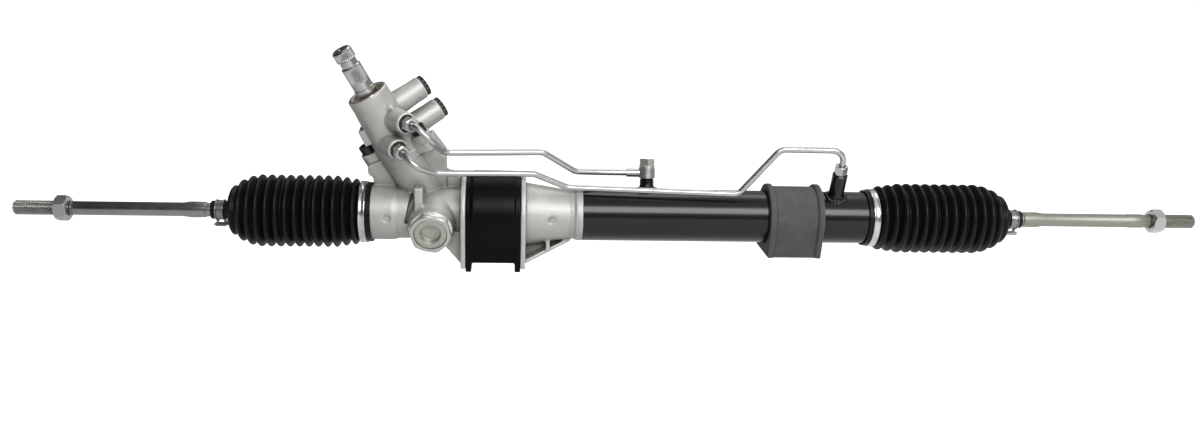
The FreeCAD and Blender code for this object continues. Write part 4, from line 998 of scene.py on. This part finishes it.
def pipe(node, face, direction, route, end):
    """Steel pipe from inside a flare nut, along its route, to its end at the tube."""
    start = [face - direction * (PIPE_IN_NUT * MM), face + direction * (PIPE_STRAIGHT * MM)]
    piece = swept(node + "_steel", start + route + end, PIPE_R, PIPE_BEND, 28, ZINC)
    stand_in_for(piece, node)


def pipes():
    """Short pipe to the banjo eye on the inner port, long pipe and its nut to the outer port."""
    x, angle, height = INNER_PORT
    to_eye = height + BANJO_WASHER + BANJO_EYE_HALF + 2 * SEAT_GAP
    end = at(x) + lean_dir(angle) * (to_eye * MM) + LEFT * (BANJO_EYE_R * MM)
    pipe("short_pipe", UPPER_FACE, UPPER_BOSS[1], SHORT_ROUTE, [end + LEFT * 0.04, end])
    x, angle, height = OUTER_PORT
    up = lean_dir(angle)
    pipe("long_pipe", LOWER_FACE, LOWER_BOSS[1], LONG_ROUTE,
         [at(x) + up * 0.079, at(x) + up * ((height - OUTER_PIPE_SUNK) * MM)])
    hex_nut("outer", "flare", at(x) + up * ((height + SEAT_GAP) * MM), up,
            OUTER_NUT_ACROSS, OUTER_NUT_THICK, FLARE_BORE)


def nuts():
    """Jam nuts of the rods, and the flare nuts at the valve housing."""
    for label, nut_x in (("left", LEFT_NUT), ("right", RIGHT_NUT)):
        hex_nut(label, "jam", at(nut_x), RIGHT, NUT_ACROSS, NUT_THICK, JAM_BORE)
    for label, face, direction in (("upper", UPPER_FACE, UPPER_BOSS[1]),
                                   ("lower", LOWER_FACE, LOWER_BOSS[1])):
        hex_nut(label, "flare", face - direction * (FLARE_NUT_SUNK * MM), direction,
                FLARE_NUT_ACROSS, FLARE_NUT_THICK, FLARE_BORE)


# Machined pieces: the CAD shape with broken edges; hidden ones only get their material

EASED = {
    "valve_housing_bolts": (BLACK_OXIDE, 0.5), "rack_guide_plug": (PASSIVATED, 0.5),
    "rack_guide_locknut": (NUT_ZINC, 0.5), "banjo_eye": (ZINC, 0.8),
    "banjo_bolt": (NUT_ZINC, 0.6), "pinion_end_cap": (ZINC, 0.5),
    "input_shaft_seal": (SEAL_RUBBER, 0.3), "cylinder_tube": (TUBE_PAINT, 0.5),
}
HIDDEN_FINISH = {
    "banjo_washers": COPPER, "rack_guide": NYLON, "left_ball_seat": NYLON,
    "right_ball_seat": NYLON, "piston_ring": NYLON, "valve_sleeve_rings": NYLON,
}


def dress_nodes():
    """Eased copies for the machined pieces, and a plain material for every CAD node."""
    for node, (material, width) in EASED.items():
        stand_in_for(eased_copy(node + "_finish", node, material, width), node)
    for name, node in NODES.items():
        covered(node, HIDDEN_FINISH.get(name, STEEL))


# Stage, lights and camera

def floor():
    """White paper, low enough for the tie rods to droop over it."""
    half, z = 40.0, -0.05
    mesh = bpy.data.meshes.new("floor")
    mesh.from_pydata([(-half, -half, z), (half, -half, z), (half, half, z), (-half, half, z)],
                     [], [(0, 1, 2, 3)])
    material = bpy.data.materials.new("pale floor")
    material.use_nodes = True
    wires = Wiring(material.node_tree)
    paper = wires.fill(wires.tree.nodes["Principled BSDF"], {
        "Base Color": (0.5, 0.5, 0.5, 1), "Roughness": 0.9, "Specular IOR Level": 0.0})
    ray = wires.node("ShaderNodeLightPath").outputs
    across = wires.split(wires.node("ShaderNodeTexCoord").outputs["Object"])["X"]
    mirrored = wires.math("MULTIPLY", ray["Is Glossy Ray"],
                          wires.ramp(across, -0.5, 0.5, 0.2, 0.7))
    seen = wires.math("MAXIMUM", ray["Is Camera Ray"], mirrored)
    glow = wires.node("ShaderNodeEmission", {"Strength": wires.math("MULTIPLY", seen, 0.88)})
    both = wires.node("ShaderNodeAddShader", {0: paper.outputs[0], 1: glow.outputs[0]})
    wires.fill(wires.tree.nodes["Material Output"], {"Surface": both.outputs[0]})
    covered(linked("floor", mesh), material)


def world():
    """Soft light from above, darker at the horizon and on the left; seen directly it is white."""
    made = bpy.data.worlds.new("studio")
    bpy.context.scene.world = made
    made.use_nodes = True
    wires = Wiring(made.node_tree)
    place = wires.split(wires.node("ShaderNodeTexCoord").outputs["Generated"])
    high, across = (wires.ramp(place[axis], *span, interpolation_type="SMOOTHSTEP")
                    for axis, span in (("Z", (0.05, 0.75, 0.16, 0.56)),
                                       ("X", (-0.6, 0.6, 0.15, 1.65))))
    seen = wires.node("ShaderNodeLightPath").outputs["Is Camera Ray"]
    wires.fill(wires.tree.nodes["Background"], {
        "Color": (1, 1, 1, 1),
        "Strength": wires.math("MAXIMUM", seen, wires.math("MULTIPLY", high, across))})


def lamp(name, place, target, size, power):
    """Rectangular lamp that shines from its place at a target."""
    data = with_settings(bpy.data.lights.new(name, "AREA"), {
        "shape": "RECTANGLE", "size": size[0], "size_y": size[1], "energy": power})
    made = linked(name, data)
    made.location = place
    aimed = Vector(target) - Vector(place)
    made.rotation_euler = aimed.to_track_quat("-Z", "Y").to_euler()


def camera():
    """Camera of the photograph: a telephoto view from a little above, turned a little right."""
    yaw, elevation, roll = math.radians(4.2), math.radians(14.3), math.radians(0.68)
    place = (27.5, -1028.5, 256.4 + AXIS_HEIGHT)
    flat = Vector((0, math.cos(elevation), -math.sin(elevation)))
    forward = flat * math.cos(yaw) + RIGHT * math.sin(yaw)
    across = RIGHT * math.cos(yaw) - flat * math.sin(yaw)
    up = Vector((0, math.sin(elevation), math.cos(elevation)))
    rolled = across * math.cos(roll) + up * math.sin(roll)
    top = up * math.cos(roll) - across * math.sin(roll)
    data = with_settings(bpy.data.cameras.new("camera"), {
        "sensor_width": 36.0, "lens": 31.9, "clip_end": 50.0})
    made = linked("camera", data)
    made.matrix_world = Matrix([(rolled[i], top[i], -forward[i], place[i] * MM) for i in range(3)]
                               + [(0, 0, 0, 1)])
    bpy.context.scene.camera = made


castings()
bushes()
bellows("left", -1, BARREL_LEFT + LEFT_CUFF, LEFT_CUFF, BARREL_R, LEFT_BELLOWS_END, LEFT_BALL)
bellows("right", 1, RIGHT_BELLOWS_START, RIGHT_CUFF, TUBE_R, RIGHT_BELLOWS_END, RIGHT_BALL)
band("left_bellows_band", BARREL_LEFT + 0.5, BARREL_R)
band("right_bellows_band", RIGHT_BELLOWS_START + RIGHT_CUFF - BAND_WIDTH - 0.5, TUBE_R)
tie_rod("left", -1, LEFT_BALL, LEFT_TIP, LEFT_THREAD, LEFT_NUT, ROD_ZINC, False)
tie_rod("right", 1, RIGHT_BALL, RIGHT_TIP, RIGHT_THREAD, RIGHT_NUT, OLIVE_ZINC, True)
nuts()
spring_clip("left_bellows_clip", LEFT_BELLOWS_END - CLIP_GAP - CLIP_WIDTH)
spring_clip("right_bellows_clip", RIGHT_BELLOWS_END + CLIP_GAP)
input_shaft()
port_cap("pressure_port_cap", *PRESSURE_PORT)
port_cap("return_port_cap", *RETURN_PORT)
pipes()
weld_bead("inner_port_weld", INNER_PORT, 8.6)
weld_bead("outer_port_weld", OUTER_PORT, 9.1)
dress_nodes()
floor()
world()
lamp("key", (0.62, -1.4, 1.05), (0.62, 0, 0.04), (1.64, 0.74), 33)
lamp("top", (0.1, 0.6, 1.4), (0.05, 0, 0.04), (1.4, 0.6), 6)
camera()
bpy.context.scene.view_settings.view_transform = "Standard"
